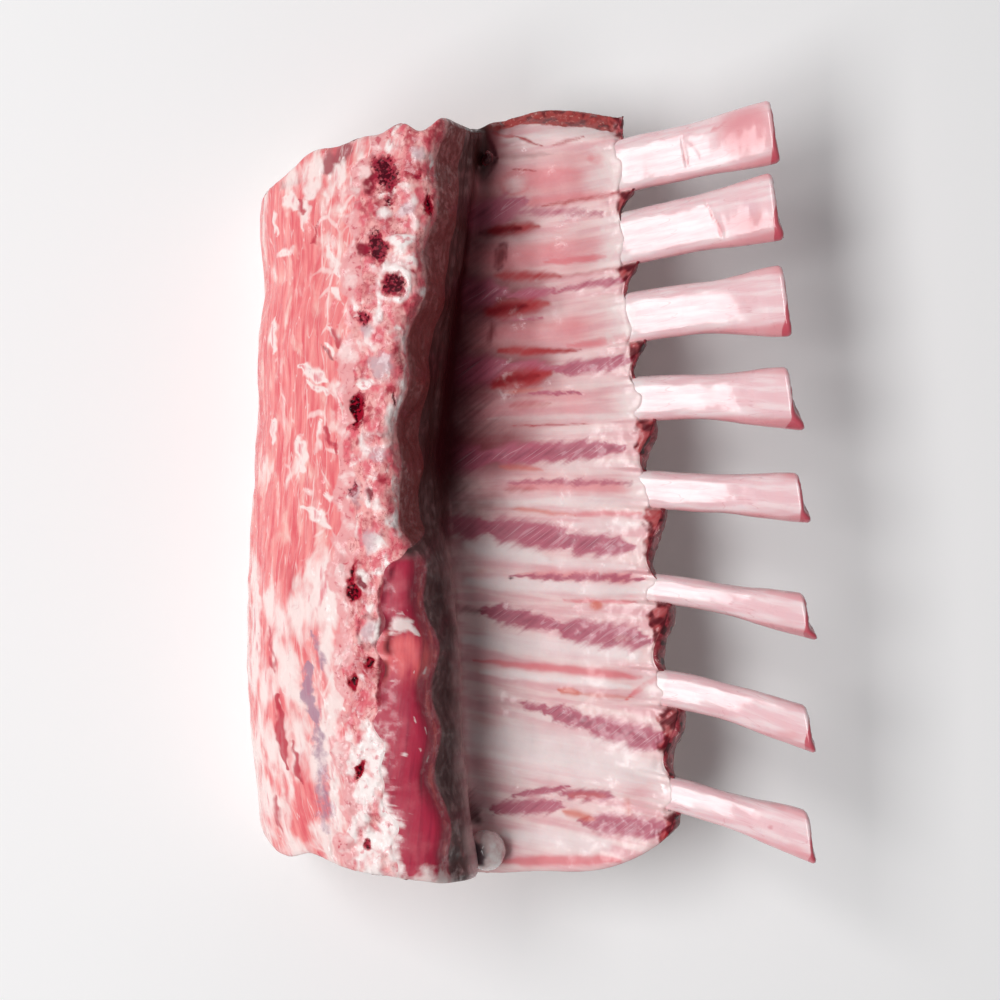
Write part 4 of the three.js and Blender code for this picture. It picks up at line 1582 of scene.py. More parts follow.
@dataclass
class Backbone(Surface):
    """The split row of vertebrae: a sawn face with marrow, and its side towards the chest."""

    wander: float = 0.9
    seat_gap: float = 0.3  # left between the bone and the meat that it is set in
    seat_depth: float = 9  # how far down the bone's far side goes
    seat_toe: float = 7  # how far in from the ridge its foot lies
    fat_starts: float = -58  # y from where, towards the loin, fat lies over it
    lean_reach: float = 2.4  # how far the lean beside it laps over its edge
    marks: tuple[Stroke | Spot, ...] = (
        *strokes(
            Mask.CRIMSON,
            (-37.8, 60.8, -31.2, 58, 0.7, 0.5, 1.2), (-46.4, 13.8, -38.4, 15.6, 1.5, 1.1, 0.95),
            (-46, -7.4, -41.2, -6.4, 0.9, 0.7, 0.8),
        ),
        *strokes(Mask.MAROON, (-37, 26.2, -36, 23.2, 0.4, 0.3, 1.2)),
        *strokes(
            Mask.ROSY,
            (-44.6, 91.5, -46, 85.5, 1.1, 0.9), (-49.8, -61, -49.6, -84, 0.8, 0.7),
            (-48.6, -88.5, -46.4, -94, 0.7, 0.7, 1.1),
        ),
        *spots(
            Mask.BLOOD,
            (-27.5, 76, 1.3, 2.9, 1.2, -10), (-47.6, 22.4, 2.2, 4.4, 1.25, 6),
            (-49, -20.2, 1.9, 3.6, 1.2, 10), (-47.9, -26, 1.7, 2.6, 1.2, -10), (-43.4, -44.6, 1.3, 1.5, 1.1),
            (-47.5, -49.6, 1.1, 2.6, 1.2), (-45.8, -73.4, 0.9, 2.5, 1.15, -24),
        ),
        *spots(
            Mask.CARTILAGE,
            (-30.4, 89.8, 2, 2.2, 1, 30), (-33.4, 74.6, 2.7, 2, 1.1, 20), (-44.2, 43, 2, 2.2, 0.9),
            (-40, 33.4, 3, 3.6, 1.1), (-40.8, 10.2, 2.7, 2.2, 0.9), (-47, 0.2, 2, 3.6),
            (-43.2, -12.4, 2.5, 3.2, 0.9), (-43.5, -36.4, 2.1, 3.4, 1, -8),
        ),
        *spots(
            Mask.CRIMSON,
            (-38.6, 84.4, 4.1, 6, 0.7, 18), (-32.3, 93.4, 2.2, 2.9, 1.1), (-31.6, 84.9, 2.8, 2.4, 1.2, -40),
            (-44.9, 75.8, 3.2, 2, 0.9, 10), (-40.2, 63.4, 3.6, 5.4, 0.75, 20), (-40, 46.2, 1.5, 1.4),
            (-37.4, 27.3, 1.3, 1.1, 1.5), (-46.8, -23.2, 4.2, 7.2, 0.95), (-44, -46.6, 4.2, 5, 0.85, 30),
            (-45.6, -72.8, 1.5, 3.2, 1, -24), (-43.6, -86.5, 1.2, 3.4, 0.95),
        ),
        *spots(
            Mask.FAT,
            (-39.5, 73.4, 2.2, 2.2), (-34.9, 66.6, 3.4, 1.7, 1.3), (-32.4, 61.4, 2, 2.4, 1.2),
            (-44.2, 28.8, 3.2, 1.2, 1.2, 10),
        ),
        *spots(
            Mask.MAROON,
            (-43.9, 93.6, 1.3, 1.9, 1.1, 10), (-43.9, 82.9, 1.7, 3.9, 1.3, 4),
            (-46, 64.2, 2.6, 2.1, 1.2, -20), (-43.1, -0.2, 0.9, 1.9, 1.2), (-50, -0.4, 1, 2.3, 0.9, -14),
            (-44.9, -23.6, 1.8, 1.3, 1.1, -30),
        ),
        *spots(
            Mask.MARROW,
            (-39.4, 84.8, 3, 4.9, 1.4, 18), (-38.4, 77.6, 1.6, 1.6, 1.1), (-30.6, 83.6, 1.1, 1.6, 0.9, -40),
            (-41.3, 65, 2.4, 4.3, 1.35, 6), (-36.7, 55.2, 2.7, 3, 1.35), (-44.9, 46.4, 1.9, 2.4, 0.85),
            (-47.4, 22.6, 2.9, 5.2, 1.1, 6), (-47.8, 1.2, 1.6, 3, 0.8), (-43.7, -93.4, 1, 1.1, 0.9),
        ),
        *spots(Mask.ROSY, (-44.2, 79.6, 2, 1.7)),
        *spots(Mask.FAT, (-36.7, 55.2, 4.1, 4.5, 0.9), ring=True),
        *spots(Mask.MAROON, (-43.5, -36.4, 2.9, 4.4, 0.6, -8), ring=True),
    )

    def seat(self, y: np.ndarray, limit_x: np.ndarray, grow: float) -> np.ndarray:
        """The three hidden lines that the bone's underside and the meat's seat run along.

        Args:
            y: places along the rack.
            limit_x: x where the bone's surface ends on the chest side.
            grow: how much larger than the bone.

        Returns:
            An array of the places by 3 lines by x and z, from the chest side round to the back.
        """
        form = self.form
        ridge, top = form.ridge_x(y), form.ridge_z(y)
        foot = lerp(form.chest_low_z, top, 0.5) - grow
        right = np.minimum(ridge + form.chine_reach(y), limit_x - 1.0)
        toe = np.minimum(ridge, right) - self.seat_toe
        lines = [(right, foot), (toe, foot), (form.chine_left_x(y), top - self.seat_depth - grow)]
        return np.stack([np.stack(line, -1) for line in lines], -2)

    def paint(self, canvas: Canvas) -> None:
        """Paints the sawn face and the side.

        Args:
            canvas: the backbone's points.
        """
        form, (x, y, z) = self.form, canvas.xyz
        below = form.ridge_z(y) - z + 0.8 * canvas.bumps(6, 2)
        side = smoothstep(x - form.ridge_x(y), -5, -1) * smoothstep(below, 1.4, 4.5)
        canvas.paint(self.marks, 1 - side)
        canvas.add(Mask.BARK, 1.1 * side)
        patches = canvas.bumps(7, 3)
        redder = smoothstep(y, 10, 60)
        canvas.add(Mask.CRIMSON, np.clip(0.2 + 0.25 * redder + 0.6 * patches, 0, 0.9) * (1 - side))
        canvas.add(Mask.FAT, np.clip(0.3 - 0.16 * redder - 0.8 * patches, 0, 0.85) * (1 - side))
        fat = smoothstep(self.fat_starts - y + 4 * canvas.bumps(12), 0, 8)
        canvas.add(Mask.FAT, fat * np.clip(0.75 + 0.5 * canvas.bumps(4, 2), 0, 1.1) * (1 - side))
        # White along the ridge's edge: partly fat, partly a painted highlight.
        ledge = hump(x - form.ridge_x(y), -3.5, 3.2) * (1 - smoothstep(below, 2.5, 6)) * smoothstep(y, -12, 0)
        canvas.add(Mask.FAT, ledge * np.clip(0.25 + 0.7 * canvas.bumps(8, 2, 80), 0, 0.7))
        lap = form.chine_left_x(y) + self.lean_reach + 3.2 * canvas.bumps(6, 3, 20) - x
        canvas.add(Mask.JOIN, smoothstep(lap, -1.2, 1.6))
        slit = form.ridge_x(y) + form.chine_reach(y) - x + 0.5 * canvas.bumps(3, 2)
        canvas.add(Mask.MAROON, 1.2 * hump(slit, 0, 1.2) * smoothstep(y, -62, -52) * smoothstep(-y, 18, 26))
        dark = smoothstep(canvas.get(Mask.MARROW) + canvas.get(Mask.BLOOD), 0.3, 0.7)
        canvas.scale(Mask.FAT, 1 - 0.85 * dark)

    def lines(self, canvas: Canvas) -> dict[str, np.ndarray]:
        """What its patterns run along: the rack itself."""
        return {"grain": canvas.points}

    def relief(self, canvas: Canvas) -> np.ndarray:
        """Raises saw marks and cartilage, and sinks marrow, clots and slits.

        Args:
            canvas: the painted points.

        Returns:
            How far each point stands out, in millimetres.
        """
        bumps, painted = canvas.bumps, canvas.get
        sawn = 1 - smoothstep(painted(Mask.BARK), 0.2, 0.8)
        height = lerp(0.45, 0.6, sawn) * bumps(9, 2) + 0.3 * sawn * bumps(2.4, 3)
        height -= smoothstep(painted(Mask.MARROW), 0.3, 0.9) * (0.4 + 0.4 * bumps(1.4, 2))
        height -= 0.5 * smoothstep(painted(Mask.BLOOD), 0.3, 1.1)
        height -= 0.5 * smoothstep(painted(Mask.MAROON), 0.4, 1.0)
        height += 0.25 * smoothstep(painted(Mask.CARTILAGE), 0.2, 1.0)
        return height + 0.25 * smoothstep(painted(Mask.FAT), 0.3, 1.0)


# ---- The back, the cut edge and the fat side ----


@dataclass
class BackMuscle(Surface):
    """The strip of bare lean along the backbone's outer side, and the rack's side below it."""

    wander: float = 1.2
    lobes: Lobes = field(default_factory=lambda: Lobes(5))
    bundle_width: float = 4.6
    bundle_length: float = 12
    bundles_bend_at: float = 20  # y where the bundles lie closest to the backbone
    join_reach: float = 1.2  # how far the backbone's grainy surface laps over it
    fascia_starts: float = -14  # y from where, towards the loin, white fascia covers most of it
    marks: tuple[Stroke | Spot, ...] = (
        *strokes(
            Mask.BRUISE,
            (-59.8, -44.6, -60.6, -53, 0.8, 1.8, 1.3), (-60.6, -53, -57.6, -61, 1.9, 1, 1.3),
            (-58.6, -36, -55.6, -47.5, 0.8, 1.2, 0.8), (-57.6, -62, -54.8, -90, 1.6, 2.8, 0.75),
        ),
        *strokes(
            Mask.CRIMSON,
            (-62.6, 79.6, -61.2, 74.5, 0.8, 0.5, 1.1), (-57.4, 71.6, -58.6, 66.4, 0.8, 0.6),
            (-52.8, 43.4, -50.2, 37.5, 0.9, 0.8, 1.1), (-55.6, 17.6, -52.4, 10.6, 0.9, 0.8, 1.1),
            (-71.6, -36, -69.4, -48, 0.8, 0.7, 0.9), (-68.6, -54, -66.4, -73.5, 1.1, 1.2, 1.35),
            (-64.4, -67, -62.2, -78, 0.7, 0.9, 1.1), (-69.8, -82, -68.4, -92, 1.1, 1, 0.9),
        ),
        *strokes(
            Mask.FAT,
            (-58.2, 89, -60.2, 79.5, 2.6, 2.2, 1.1), (-67, 80.2, -61.5, 76.4, 1.6, 2, 1.1),
            (-60.6, 78, -61.6, 70, 1.2, 0.5), (-52.6, 87, -54.5, 78.5, 2.6, 1.6, 0.85),
            (-50.4, 90.5, -51.5, 81, 1.2, 1, 0.9), (-70.4, 76.5, -69.2, 70, 0.8, 0.5),
            (-72.4, 70, -70, 66, 0.5, 0.4, 0.9), (-55.2, 66.5, -51.2, 57.5, 0.6, 1.1),
            (-53.6, 55, -50.4, 50.4, 1, 0.8), (-54, 44.5, -51.4, 40.5, 0.8, 0.7),
            (-54.8, 40.6, -52.4, 36.4, 0.5, 0.5), (-62.2, 33.8, -55.2, 30.6, 1.3, 1.7, 1.2),
            (-59.5, 29.5, -52.6, 25.5, 0.8, 0.7), (-56.6, 19.5, -58, 9.5, 0.7, 1),
            (-62.6, 14.8, -61.4, 6.5, 1.8, 1, 1.2), (-70.6, 20, -69.8, 13.8, 1, 1.2),
            (-70.2, 46.4, -70.6, 38, 1.4, 0.7), (-55.6, -0.5, -52.4, -2, 0.9, 1.4),
            (-61, -3.4, -54, -9, 1, 1.2), (-75, -24, -76, -46, 1.6, 2.4),
            (-53.4, -62, -52.6, -90, 1.6, 1.4, 1.1),
        ),
        *strokes(
            Mask.MUSCLE,
            (-49.2, 92.6, -56.2, 86.4, 2.4, 3, 1.2), (-55.8, 39.4, -52.8, 34.6, 0.7, 0.7, 0.9),
        ),
        *spots(Mask.CRIMSON, (-65.4, -23.5, 3, 7, 0.55, 14)),
        *spots(
            Mask.FAT,
            (-67, 65, 2.4, 1.2, 1.1, 15), (-52.4, 27, 1.6, 3.4, 0.9), (-55.6, -27, 4.6, 11, 1, 6),
        ),
        *spots(Mask.MUSCLE, (-65.2, 84, 3.2, 1.4, 0.8, 20)),
    )

    def paint(self, canvas: Canvas) -> None:
        """Paints bare lean, its seams, fascia towards the loin and the grainy edge of the backbone.

        Args:
            canvas: the back's and the side's points.
        """
        x, y, z = canvas.xyz
        canvas.paint(self.marks)
        fascia = smoothstep(self.fascia_starts - y + 7 * canvas.bumps(22), -8, 18)
        corner = smoothstep(y + 0.35 * x, 42, 56)
        beside = 1 - smoothstep(canvas.around + 3 * canvas.bumps(9, 2, 30), 6, 17)
        patches = canvas.bumps((7, 13, 7), 3)
        canvas.add(Mask.FAT, np.clip(0.1 + 0.55 * fascia + 0.2 * corner + 0.5 * patches, 0, 1))
        canvas.add(Mask.LOBED, np.clip(0.1 + 0.7 * beside + 0.9 * patches, 0, 1))
        grainy = self.join_reach + 3.2 * canvas.bumps(6, 3, 20) - canvas.around
        canvas.add(Mask.JOIN, smoothstep(grainy, -1.2, 1.6))
        canvas.add(Mask.FAT, 1.1 * smoothstep(19 - z + 5 * canvas.bumps(16, 2), 0, 8))
        canvas.scale(Mask.CRIMSON, smoothstep(z, 8, 22))

    def relief(self, canvas: Canvas) -> np.ndarray:
        """Raises soft lumps and fat, and sinks the seams between the bundles.

        Args:
            canvas: the painted points.

        Returns:
            How far each point stands out, in millimetres.
        """
        _, y, _ = canvas.xyz
        across = self.lines(canvas)["grain"][..., 0] + 0.1 * np.abs(y - self.bundles_bend_at)
        away = self.bundle_width * self.lobes(across / self.bundle_width, y / self.bundle_length)
        height = 0.55 * canvas.bumps(16) + 0.3 * canvas.bumps((4, 10, 4), 2)
        height -= 0.25 * (1 - smoothstep(away, 0.10, 0.75)) * canvas.get(Mask.LOBED)
        return height + 0.12 * smoothstep(canvas.get(Mask.FAT), 0.2, 1)


@dataclass
class CutEdge(Surface):
    """Where the meat was cut away to bare the rib ends."""

    fat_share: float = 0.62  # how far down the cut the outer fat begins, from 0 at the rim to 1

    def paint(self, canvas: Canvas) -> None:
        """Paints the cut, from the lining's edge down to the outer fat.

        Args:
            canvas: the cut's points.
        """
        x, y, _ = canvas.xyz
        down = 1 - np.arange(x.shape[1]) / x.shape[1]
        patches = canvas.bumps(4, 2)
        canvas.add(Mask.FAT, smoothstep(down + 0.2 * patches, self.fat_share, self.fat_share + 0.25))
        canvas.add(Mask.MILK, 0.6 * (1 - smoothstep(down + 0.1 * patches, 0.02, 0.12)))
        canvas.add(Mask.MAROON, smoothstep(patches, 0.05, 0.5))
        canvas.add(Mask.ROSY, smoothstep(-patches, 0.1, 0.5) * (1 - self.form.on_rib(x, y)))

    def relief(self, canvas: Canvas) -> np.ndarray:
        """Raises ragged lean."""
        return 0.6 * canvas.bumps(4.5, 3)


@dataclass
class FatSide(Surface):
    """The fat side, on which the rack lies."""

    press_depth: float = 0.15  # how far lumps stand out where the board flattens them

    def paint(self, canvas: Canvas) -> None:
        """Paints blushes and the thin spots where lean shows through.

        Args:
            canvas: the fat side's points.
        """
        canvas.add(Mask.FAT, 1.1 + 0 * canvas.x)
        canvas.add(Mask.ROSY, np.clip(0.3 + 0.5 * canvas.bumps(14, 2), 0, 1))
        canvas.add(Mask.CRIMSON, np.clip(0.9 * canvas.bumps((9, 26, 9), 2, 60) - 0.1, 0, 1))

    def relief(self, canvas: Canvas) -> np.ndarray:
        """Raises lumps that are flattened where they lie on the board."""
        lumps = 0.7 * canvas.bumps(13, 2) + 0.25 * canvas.bumps(4, 2)
        return lumps * lerp(self.press_depth, 1.0, smoothstep(canvas.xyz[2], 0.5, 5))


# ---- Flesh and its end cuts ----


@dataclass
class Flesh:
    """The rack's skin painted and raised, from which both the meat and the backbone take their surfaces."""

    form: RackForm
    noise: Noise
    end_worn: float = 0.5  # how far the edges of the two end cuts are rounded
    blend_columns: int = 3  # over how many columns two regions' reliefs meet

    def __post_init__(self) -> None:
        """Paints every region and raises the points."""
        self.skin = Skin(self.form)
        self.chest, self.backbone = ChestWall(self.form), Backbone(self.form)
        self.masks: dict[str, np.ndarray] = {}
        self.beyond: dict[int, dict[str, np.ndarray]] = {}
        plain, normals = self.skin.points, self.skin.normals()
        first = self.skin.span[Region.BACK][0]
        rolled = np.roll(plain, -first, 1)
        steps = np.linalg.norm(np.diff(rolled, axis=1, prepend=rolled[:, :1]), axis=-1)
        self.around = np.roll(np.cumsum(steps, axis=1), first, 1)
        self.height = np.zeros(plain.shape[:2])
        self.cover(self.chest, Region.CHEST, Region.WALL)
        self.cover(self.backbone, Region.CHINE, Region.CHINE)
        self.cover(BackMuscle(self.form), Region.BACK, Region.SIDE)
        self.cover(CutEdge(self.form), Region.CUT_EDGE, Region.CUT_EDGE)
        self.cover(FatSide(self.form), Region.BASE, Region.UNDER)
        self.blend_heights()
        self.points = plain + normals * self.height[..., None]
        self.points[..., 2] = np.maximum(self.points[..., 2], 0)
        rim = self.columns(Region.CUT_EDGE, Region.CHEST)
        bones = [RibBone(n, self.form, self.noise) for n in range(1, len(RIBS) + 1)]
        self.points[:, rim, 2] = self.chest.bare(self.points[:, rim], bones, self.noise)

    def columns(self, first: Region, last: Region) -> slice:
        """The columns from the first region to the end of the last."""
        return slice(self.skin.span[first][0], self.skin.span[last][1])

    def cover(self, surface: Surface, first: Region, last: Region) -> None:
        """Paints and raises some regions, and the one column beyond them, whose paint is stored apart.

        Args:
            surface: what they are.
            first: the first region.
            last: the last region.
        """
        columns = self.columns(first, last)
        reach, width = range(columns.start, columns.stop + 1), columns.stop - columns.start
        side = self.skin.span[Region.SIDE][0]
        points, around = (np.take(a, reach, axis=1, mode="wrap") for a in (self.skin.points, self.around))
        canvas = Canvas(points, self.noise, surface.wander, around, around - self.around[:, side, None])
        surface.paint(canvas)
        self.height[:, columns] = surface.relief(canvas)[:, :width]
        painted = {**canvas.masks, **surface.lines(canvas)}
        for name, value in painted.items():
            blank = np.zeros((*self.height.shape, *value.shape[2:]))
            self.masks.setdefault(name, blank)[:, columns] = value[:, :width]
        self.beyond[columns.stop] = {name: value[:, width] for name, value in painted.items()}

    def blend_heights(self) -> None:
        """Joins the reliefs of neighbouring regions and rounds the edges of the end cuts."""
        reach = self.blend_columns
        painted_apart = (Region.BASE, Region.CUT_EDGE, Region.CHEST, Region.CHINE, Region.BACK)
        for first in (self.skin.span[region][0] for region in painted_apart):
            low, high = (self.height[:, (first + n) % self.skin.width] for n in (-reach, reach))
            for step in range(1 - reach, reach):
                share = (step + reach) / (2 * reach)
                self.height[:, (first + step) % self.skin.width] = lerp(low, high, share)
        y = self.skin.points[..., 1]
        from_end = np.minimum(y - y[:1], y[-1:] - y)
        self.height -= self.end_worn * (1 - smoothstep(from_end, 0, 1.1))

    def seat_lines(self, grow: float) -> np.ndarray:
        """The three hidden lines below the backbone.

        Args:
            grow: how much larger than the bone.

        Returns:
            An array of rows by 3 lines by 3.
        """
        form, share = self.form, np.linspace(0, 1, self.skin.rows)
        limit_x = self.skin.points[:, self.skin.span[Region.CHINE][0], 0]
        lines = []
        for line in range(3):
            y = lerp(form.loin_y, form.shoulder_y, share)
            for _ in range(5):
                x, z = self.backbone.seat(y, limit_x, grow)[:, line].T
                y = lerp(form.loin_end(x), form.shoulder_end(x), share)
            lines.append(np.stack([x, y, z], -1))
        return np.stack(lines, 1)

    def gather(
        self, piece: Piece, columns: list[int], hidden: np.ndarray, at: int, finishes: np.ndarray | int
    ) -> tuple[np.ndarray, np.ndarray]:
        """Adds to a piece a closed grid: some of the skin's columns with hidden lines among them.

        Args:
            piece: the piece.
            columns: the skin's columns, in order. The last one before the hidden lines keeps its own
                paint, where the skin's grid has its neighbour's.
            hidden: the hidden lines' points.
            at: after how many of the columns they come.
            finishes: the number of each column's finish, or of all.

        Returns:
            The grid's points and their numbers.
        """
        points = np.concatenate([self.points[:, columns[:at]], hidden, self.points[:, columns[at:]]], 1)
        masks = {}
        for name, value in self.masks.items():
            bare = np.zeros((*hidden.shape[:2], *value.shape[2:]))
            masks[name] = np.concatenate([value[:, columns[:at]], bare, value[:, columns[at:]]], 1)
        for name, value in self.beyond[columns[at - 1]].items():
            masks[name][:, at - 1] = value
        numbers = piece.add_points(points, masks)
        piece.add_grid(numbers, True, finishes)
        piece.crease(numbers[:, at - 1])
        piece.crease(numbers[:, (at + hidden.shape[1]) % numbers.shape[1]])
        return points, numbers


@dataclass
class EndCut:
    """The flat cuts that close a piece at the two ends of the rack."""

    form: RackForm
    noise: Noise
    is_bone: bool = False  # whether it cuts backbone and not meat
    meat_pitch: float = 1.25  # between its points
    bone_pitch: float = 0.8
    meat_finish: int = 1  # the number of the cut meat among the meat's finishes

    def fill(self, outline: np.ndarray) -> tuple[np.ndarray, np.ndarray]:
        """Fills an outline with triangles of even size.

        Args:
            outline: the x and z of the outline's points, in order.

        Returns:
            The inner points' x and z, and the faces, whose numbers count the outline's points first.
        """
        pitch = self.bone_pitch if self.is_bone else self.meat_pitch
        low, high = outline.min(0), outline.max(0)
        x, z = np.meshgrid(np.arange(low[0], high[0], pitch), np.arange(low[1], high[1], pitch))
        x[1::2] += pitch / 2
        inner = np.stack([x.ravel(), z.ravel()], -1)
        away = np.linalg.norm(inner[:, None] - outline, axis=-1).min(1)
        flat = np.concatenate([outline, inner[away > 0.6 * pitch]])
        edges = [(i, (i + 1) % len(outline)) for i in range(len(outline))]
        made = delaunay_2d_cdt([Vector(p) for p in flat], edges, [], 1, 1e-6)
        number = np.array([origin[0] if origin else -1 for origin in made[3]])
        faces = number[np.array(made[2])]
        faces = faces[(faces >= 0).all(1)]
        used = np.unique(faces[faces >= len(outline)])
        renumber = np.arange(len(flat))
        renumber[used] = np.arange(len(used)) + len(outline)
        return flat[used], renumber[faces]

    def close(self, piece: Piece, points: np.ndarray, numbers: np.ndarray) -> Piece:
        """Closes both ends of a piece.

        Args:
            piece: the piece.
            points: its grid's points.
            numbers: their numbers.

        Returns:
            The piece.
        """
        for row, end in ((0, self.form.loin_end), (-1, self.form.shoulder_end)):
            inner, faces = self.fill(points[row][:, [0, 2]])
            x, z = inner.T
            cut = np.stack([x, end(x), z], -1)
            cut[:, 1] += 0.45 * self.noise(cut, 5, 3)
            canvas = Canvas(cut, self.noise)
            if self.is_bone:
                self.paint_bone(canvas)
            else:
                self.paint_meat(canvas)
            fibres = np.stack([x, z, cut[:, 1]], -1)
            added = piece.add_points(cut, {**canvas.masks, "grain": fibres, "run": fibres})
            every = np.concatenate([numbers[row], added])[faces]
            piece.add_faces(every[:, ::-1] if row else every, 0 if self.is_bone else self.meat_finish)
        return piece

    def paint_meat(self, canvas: Canvas) -> None:
        """Paints the eye muscle in its seam of fat, the outer fat and the layers of the chest wall.

        Args:
            canvas: the cut's points.
        """
        x, _, z = canvas.xyz
        bend = 1.4 * canvas.bumps(9, 2)
        eye = np.hypot((x + 46 + bend) / 25, (z - 27 + bend) / 17)
        canvas.add(Mask.ROSY, (1 - smoothstep(eye, 0.9, 1.02)) * (0.75 + 0.3 * canvas.bumps(5, 2)))
        canvas.add(Mask.FAT, hump(eye, 1.06, 0.06) * (0.75 + 0.4 * canvas.bumps(6, 2, 40)))
        canvas.add(Mask.FAT, 1.2 * smoothstep(8 - z + bend + 0.12 * np.abs(x), 0, 2))
        canvas.add(Mask.FAT, 1.2 * smoothstep(-67 - x + 0.5 * bend, 0, 2))
        layer = (z - self.form.chest_z(x) + 12) / 4 + bend / 4
        thin = smoothstep(x, -16, 4)
        canvas.add(Mask.FAT, thin * hump(layer, 0.6, 0.25))
        canvas.add(Mask.MAROON, 0.9 * thin * hump(layer, 1.7, 0.6))

    def paint_bone(self, canvas: Canvas) -> None:
        """Paints spongy bone with marrow, and the canal's fat.

        Args:
            canvas: the cut's points.
        """
        x, _, z = canvas.xyz
        spots = canvas.bumps(5, 2)
        canvas.add(Mask.MARROW, smoothstep(spots, 0.1, 0.5))
        canvas.add(Mask.CRIMSON, smoothstep(-spots, 0, 0.5))
        canvas.add(Mask.FAT, hump(np.hypot(x + 39, z - 49) / 3.2, 1, 0.35))
        canvas.add(Mask.MAROON, 1 - smoothstep(np.hypot(x + 39, z - 49), 1.6, 2.6))


@dataclass
class Meat:
    """Everything that isn't bone, closed under the backbone by the seat that the bone lies in."""

    flesh: Flesh

    def build(self) -> Piece:
        """Gathers the piece.

        Returns:
            The piece, whose finishes are numbered fat side, cut, lining and lean.
        """
        flesh, skin = self.flesh, self.flesh.skin
        first_bone, first_back = skin.span[Region.CHINE]
        columns = [*range(first_bone + 1), *range(first_back, skin.width)]
        finish_of = {Region.BASE: 0, Region.UNDER: 0, Region.CUT_EDGE: 1, Region.CHEST: 2, Region.WALL: 2}
        regions = [region for region, count in skin.columns.items() for _ in range(count)]
        finishes = [finish_of.get(regions[c], 3) for c in columns]
        finishes[first_bone : first_bone + 1] = [1, 1, 1, 1]
        piece, seat = Piece("rack_meat"), flesh.seat_lines(flesh.backbone.seat_gap)
        grid = flesh.gather(piece, columns, seat, first_bone + 1, np.array(finishes))
        return EndCut(flesh.form, flesh.noise).close(piece, *grid)

    def dress(self, piece: Piece) -> bpy.types.Object:
        """Makes the mesh with its finishes."""
        finishes = [f.material() for f in (FAT_CAP, CUT_MEAT, CHEST_LINING, LEAN_AND_FAT)]
        return piece.mesh(finishes, "meat", ("meat",))


@dataclass
class SawnBackbone:
    """The backbone's piece: its skin and its hidden underside."""

    flesh: Flesh

    def build(self) -> Piece:
        """Gathers the piece.

        Returns:
            The piece.
        """
        first, last = self.flesh.skin.span[Region.CHINE]
        columns = [*range(first, last + 1)]
        piece, hidden = Piece("sawn_backbone"), self.flesh.seat_lines(0)[:, ::-1]
        grid = self.flesh.gather(piece, columns, hidden, len(columns), 0)
        return EndCut(self.flesh.form, self.flesh.noise, True).close(piece, *grid)

    def dress(self, piece: Piece) -> bpy.types.Object:
        """Makes the mesh with its finish."""
        return piece.mesh([SAWN_BACKBONE.material()], "chine", ("chine_bone",))


# ---- Rib bones ----


@dataclass(frozen=True)
class Groove:
    """A shallow furrow or a low ridge on a bare bone, between two places seen from above."""

    start: tuple[float, float]
    end: tuple[float, float]
    half: float
    depth: float  # below zero for a ridge


